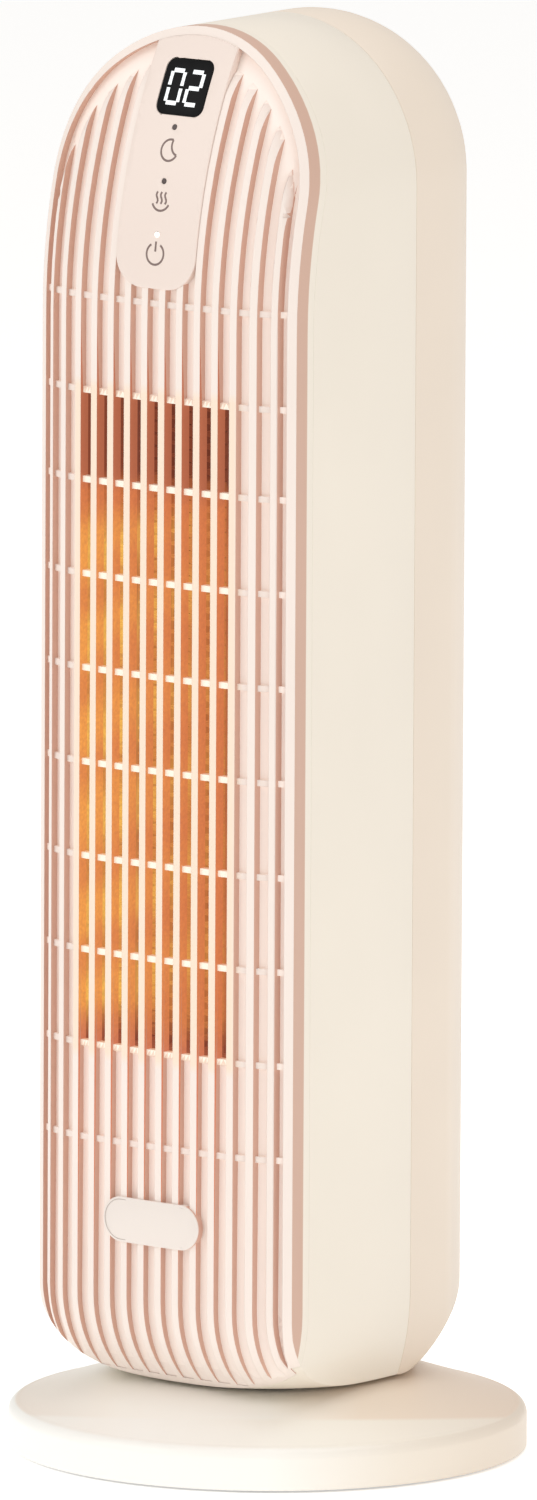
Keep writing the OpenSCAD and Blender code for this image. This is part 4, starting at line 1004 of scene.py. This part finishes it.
class HEATER_OT_badge(bpy.types.Operator):
    """Bare badge plate with a thin inset line"""
    bl_idname = "heater.badge"
    bl_label = "Badge plate"
    bl_options = {"REGISTER", "UNDO"}

    def execute(self, context):
        def shift(point):
            """Sets the badge a little to the side and carries its sides down to the slots."""
            point.co.x += BADGE_SHIFT * MM
            if point.co.y / MM > FRONT + BADGE_BACK:
                point.co.y += BADGE_DEEPER * MM

        plate = soften("badge_plate", "badge", BADGE_EDGE, move=shift)
        paint(plate, "badge", "rib wall")
        # The badge's right side takes the darker wall material: painted shade beside the badge
        sort_faces(plate, lambda middle, normal: int(normal.x > WALL_FRONT > abs(normal.y)))
        fit(plate, "tower", "blush_badge", "badge_plate")
        low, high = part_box("badge_plate")
        middle = (low.z + high.z) / 2 / MM
        radius = (high.z - low.z) / 2 / MM - BADGE_INSET
        half = (high.x - low.x) / 2 / MM - BADGE_INSET - radius
        line = (arc(BADGE_SHIFT + half, middle, radius, -90, 90)
                + arc(BADGE_SHIFT - half, middle, radius, 90, 270))
        line.append(line[0])
        stroke("badge_line", [line], BADGE_LINE, BADGE_PROUD, "badge line", "blush_badge")
        return {"FINISHED"}


class HEATER_OT_springs(bpy.types.Operator):
    """Coil springs of the tip-over switch and of the touch keys"""
    bl_idname = "heater.springs"
    bl_label = "Coil springs"
    bl_options = {"REGISTER", "UNDO"}

    # CAD node, piece, rough axis, radius of the wire in millimetres, turns
    plan = (
        ("tip_spring", "tip_coil", Vector((0, 0, 1)), 0.4, 3),
        ("touch_springs", "touch_coils", Vector((0, -1, 0)), 0.35, 5),
    )

    def execute(self, context):
        for node, name, hint, wire, turns in self.plan:
            coils = []
            for part in loose_parts(node, name):
                axis, start, length, wide = barrel(part, hint)
                bpy.data.objects.remove(part)
                coils.append(self.coil(start, axis, length, wide, wire * MM, turns))
            piece = join(name, coils)
            outward(piece)
            smooth(piece, CURVE_SMOOTH)
            paint(piece, "steel")
            stand_in(piece, node, "steel")
        return {"FINISHED"}

    def coil(self, start, axis, length, wide, wire, turns):
        """One spring with closed wire ends."""
        pitch = (length - 2 * wire) / turns
        bpy.ops.mesh.primitive_circle_add(
            vertices=WIRE_SIDES, radius=wire, fill_type="NGON",
            location=(wide - wire, 0.0, wire), rotation=(math.radians(90.0), 0.0, 0.0))
        piece = current("coil")
        keep_place(piece)
        modify(piece, "SCREW", axis="Z", angle=2.0 * math.pi, screw_offset=pitch,
               iterations=turns, steps=COIL_STEPS, render_steps=COIL_STEPS,
               use_normal_calculate=True)
        with editing(piece):
            bpy.ops.mesh.fill_holes(sides=0)
        place_along(piece, start, axis)
        return piece


class HEATER_OT_screws(bpy.types.Operator):
    """Screws with domed heads and cross recesses"""
    bl_idname = "heater.screws"
    bl_label = "Screws"
    bl_options = {"REGISTER", "UNDO"}

    # CAD node, piece, way that the heads face
    plan = (
        ("base_screws", "plate_screws", Vector((0, 0, -1))),
        ("casing_screws", "shell_screws", Vector((0, 1, 0))),
        ("turntable_screws", "table_screws", Vector((0, 0, -1))),
    )

    def execute(self, context):
        for node, name, outward_way in self.plan:
            cuts = []
            for part in loose_parts(node, "screw"):
                axis, start, length, wide = barrel(part, outward_way)
                bpy.data.objects.remove(part)
                cuts.append(self.cross(start + axis * length, axis, wide))
            piece = soften(node, name, SCREW_EDGE)
            cutter = join("cross", cuts)
            modify(piece, "BOOLEAN", object=cutter, operation="DIFFERENCE", solver="EXACT",
                   use_self=True)
            bpy.data.objects.remove(cutter)
            outward(piece)
            smooth(piece, CRISP_SMOOTH)
            paint(piece, "steel")
            stand_in(piece, node, "steel")
        return {"FINISHED"}

    def cross(self, top, axis, wide):
        """A tapered cross with its wide end just above the screw's head."""
        blades = []
        length, width = wide * CROSS_LENGTH, wide * CROSS_WIDTH
        for size in ((length, width), (width, length)):
            bpy.ops.mesh.primitive_cube_add(size=1.0, location=(0.0, 0.0, CROSS_MIDDLE * MM))
            blade = current("blade")
            blade.scale = (*size, CROSS_HEIGHT * MM)
            keep_place(blade)
            for point in blade.data.vertices:
                if point.co.z < CROSS_MIDDLE * MM:
                    point.co.x *= CROSS_NARROW
                    point.co.y *= CROSS_NARROW
            blades.append(blade)
        piece = join("cross", blades)
        place_along(piece, top, axis)
        return piece


class HEATER_OT_softened(bpy.types.Operator):
    """Feet, intake cover, motors, relays, tip-over switch and cord inlet with rounded edges"""
    bl_idname = "heater.softened"
    bl_label = "Softened pieces"
    bl_options = {"REGISTER", "UNDO"}

    # CAD node, piece, radius of the edges in millimetres, finish, slot
    plan = (
        ("rubber_feet", "soft_feet", 0.4, "rubber", "dark_rubber"),
        ("intake_cover", "intake_louvres", 0.25, "rear shell", "cream_back"),
        ("swing_motor", "sweep_motor_can", 0.5, "motor", "motor_metal"),
        ("fan_motor", "fan_motor_can", 0.7, "motor", "motor_metal"),
        ("relays", "relay_blocks", 0.4, "relay", "relay_blue"),
        ("tip_switch", "tip_switch_box", 0.3, "black", "black_plastic"),
        ("cord_inlet", "inlet_grommet", 0.3, "grey rubber", "grey_rubber"),
    )

    def execute(self, context):
        for node, name, width, finish, slot in self.plan:
            piece = soften(node, name, width)
            paint(piece, finish)
            stand_in(piece, node, slot)
        return {"FINISHED"}


class HEATER_OT_inner(bpy.types.Operator):
    """Finishes of the pieces that keep their CAD form"""
    bl_idname = "heater.inner"
    bl_label = "Inner pieces"
    bl_options = {"REGISTER", "UNDO"}

    # CAD node and finish
    finishes = {
        "base_plate": "grey", "tip_plunger": "nylon", "tip_switch_holder": "grey",
        "thrust_ring": "nylon", "swing_gear": "nylon", "swing_lock_nut": "nylon",
        "swing_washer": "steel", "turntable": "grey", "swing_motor_bracket": "steel",
        "swing_pinion": "nylon", "dust_filter": "filter", "display_module": "black",
        "control_board": "board", "heater_frame": "hot frame",
        "heater_end_caps": "hot frame", "fin_stacks": "fin", "ceramic_strips": "strip",
        "heater_terminals": "brass", "thermal_cutout": "steel", "duct_lower_plate": "dark grey",
        "duct_upper_plate": "dark grey", "scroll_wall": "dark grey", "tongue_wall": "dark grey",
        "fan_wheel": "black", "fan_shaft": "steel", "fan_bush": "brass",
        "fan_bush_mount": "rubber", "power_board": "board",
    }

    def execute(self, context):
        for node, name in self.finishes.items():
            paint(frame["nodes"][node], name)
        return {"FINISHED"}


class HEATER_OT_stage(bpy.types.Operator):
    """Floor, lights, background and camera"""
    bl_idname = "heater.stage"
    bl_label = "Stage"
    bl_options = {"REGISTER", "UNDO"}

    # Name, place, aim, size and power of each lamp
    plan = (
        ("key", (-1.3, -2.3, 1.9), (0, 0, 0.30), 1.8, 18.0),
        ("side", (2.6, -0.6, 1.2), (0, 0, 0.30), 1.8, 6.8),
        ("top", (0.4, 0.2, 2.8), (0, 0, 0.10), 2.0, 20.0),
    )

    def execute(self, context):
        self.floor()
        self.background(context.scene)
        self.lamps()
        self.camera(context.scene)
        return {"FINISHED"}

    def floor(self):
        """Nearly white ground under the heater."""
        bpy.ops.mesh.primitive_plane_add(size=8.0)
        floor = current("floor")
        graph = Graph("floor")
        grain = graph.noise(300.0)
        tone = graph.mix(grain, srgb(252, 252, 251), srgb(255, 255, 255))
        floor.data.materials.append(graph.finish(
            tone, 0.9, grain, GRAIN, Emission_Color=srgb(255, 255, 255), Emission_Strength=0.32))

    def background(self, scene):
        """Warm light on the object, and plain white where the camera sees past it."""
        world = bpy.data.worlds.new("studio")
        scene.world = world
        world.use_nodes = True
        nodes, links = world.node_tree.nodes, world.node_tree.links
        nodes.clear()
        path = nodes.new("ShaderNodeLightPath")
        blend = nodes.new("ShaderNodeMixShader")
        out = nodes.new("ShaderNodeOutputWorld")
        links.new(path.outputs["Is Camera Ray"], blend.inputs[0])
        lights = (((1.0, 0.985, 0.965, 1.0), 0.64), ((1.0, 1.0, 1.0, 1.0), 1.0))
        for socket, (colour, strength) in zip((blend.inputs[1], blend.inputs[2]), lights):
            light = nodes.new("ShaderNodeBackground")
            light.inputs["Color"].default_value = colour
            light.inputs["Strength"].default_value = strength
            links.new(light.outputs[0], socket)
        links.new(blend.outputs[0], out.inputs[0])
        scene.view_settings.view_transform = "Standard"

    def lamps(self):
        """Square lamps, each turned toward its aim."""
        for name, place, aim, size, power in self.plan:
            bpy.ops.object.light_add(type="AREA", location=place)
            light = bpy.context.view_layer.objects.active
            light.name = name
            light.data.size = size
            light.data.energy = power
            light.rotation_mode = "QUATERNION"
            light.rotation_quaternion = (Vector(aim) - Vector(place)).to_track_quat("-Z", "Y")

    def camera(self, scene):
        """Camera far off with a long lens, slightly rolled."""
        turn, tilt = math.radians(VIEW_AZIMUTH), math.radians(VIEW_ELEVATION)
        roll = math.radians(VIEW_ROLL)
        back = Vector((math.sin(turn) * math.cos(tilt), -math.cos(turn) * math.cos(tilt),
                       math.sin(tilt)))
        right = Vector((math.cos(turn), math.sin(turn), 0.0))
        up = back.cross(right)
        target = right * VIEW_RIGHT + up * VIEW_UP
        bpy.ops.object.camera_add(location=target + back * VIEW_DISTANCE)
        camera = bpy.context.view_layer.objects.active
        camera.name = "camera"
        rolled_right = right * math.cos(roll) + up * math.sin(roll)
        rolled_up = up * math.cos(roll) - right * math.sin(roll)
        axes = Matrix((rolled_right, rolled_up, back)).transposed()
        camera.rotation_euler = axes.to_euler()
        camera.data.sensor_width = SENSOR
        camera.data.lens = SENSOR * VIEW_DISTANCE / VIEW_HEIGHT
        scene.camera = camera


# Settings, panel and registration

class HEATER_PG_settings(bpy.types.PropertyGroup):
    """Reading of the display and glow of the fins"""
    reading: bpy.props.IntProperty(
        name="Reading", description="Number on the display", default=2, min=0, max=99)
    glow: bpy.props.FloatProperty(
        name="Glow", description="Brightness of the hot fins", default=0.95, min=0.0, max=5.0)


OPERATORS = (
    HEATER_OT_shells, HEATER_OT_grille, HEATER_OT_panel, HEATER_OT_badge, HEATER_OT_springs,
    HEATER_OT_screws, HEATER_OT_softened, HEATER_OT_inner, HEATER_OT_stage,
)


class HEATER_PT_panel(bpy.types.Panel):
    """Lists the operators and the settings"""
    bl_label = "Ceramic Tower Heater"
    bl_idname = "HEATER_PT_panel"
    bl_space_type = "VIEW_3D"
    bl_region_type = "UI"
    bl_category = "Heater"

    def draw(self, context):
        settings = context.scene.heater
        self.layout.prop(settings, "reading")
        self.layout.prop(settings, "glow")
        for operator in OPERATORS:
            self.layout.operator(operator.bl_idname)


CLASSES = (HEATER_PG_settings, *OPERATORS, HEATER_PT_panel)


def register():
    for item in CLASSES:
        bpy.utils.register_class(item)
    bpy.types.Scene.heater = bpy.props.PointerProperty(type=HEATER_PG_settings)


def unregister():
    del bpy.types.Scene.heater
    for item in reversed(CLASSES):
        bpy.utils.unregister_class(item)


def main():
    """Builds every piece."""
    register()
    bpy.ops.heater.shells()
    bpy.ops.heater.grille()
    bpy.ops.heater.panel()
    bpy.ops.heater.badge()
    bpy.ops.heater.springs()
    bpy.ops.heater.screws()
    bpy.ops.heater.softened()
    bpy.ops.heater.inner()
    bpy.ops.heater.stage()


if __name__ == "__main__":
    main()
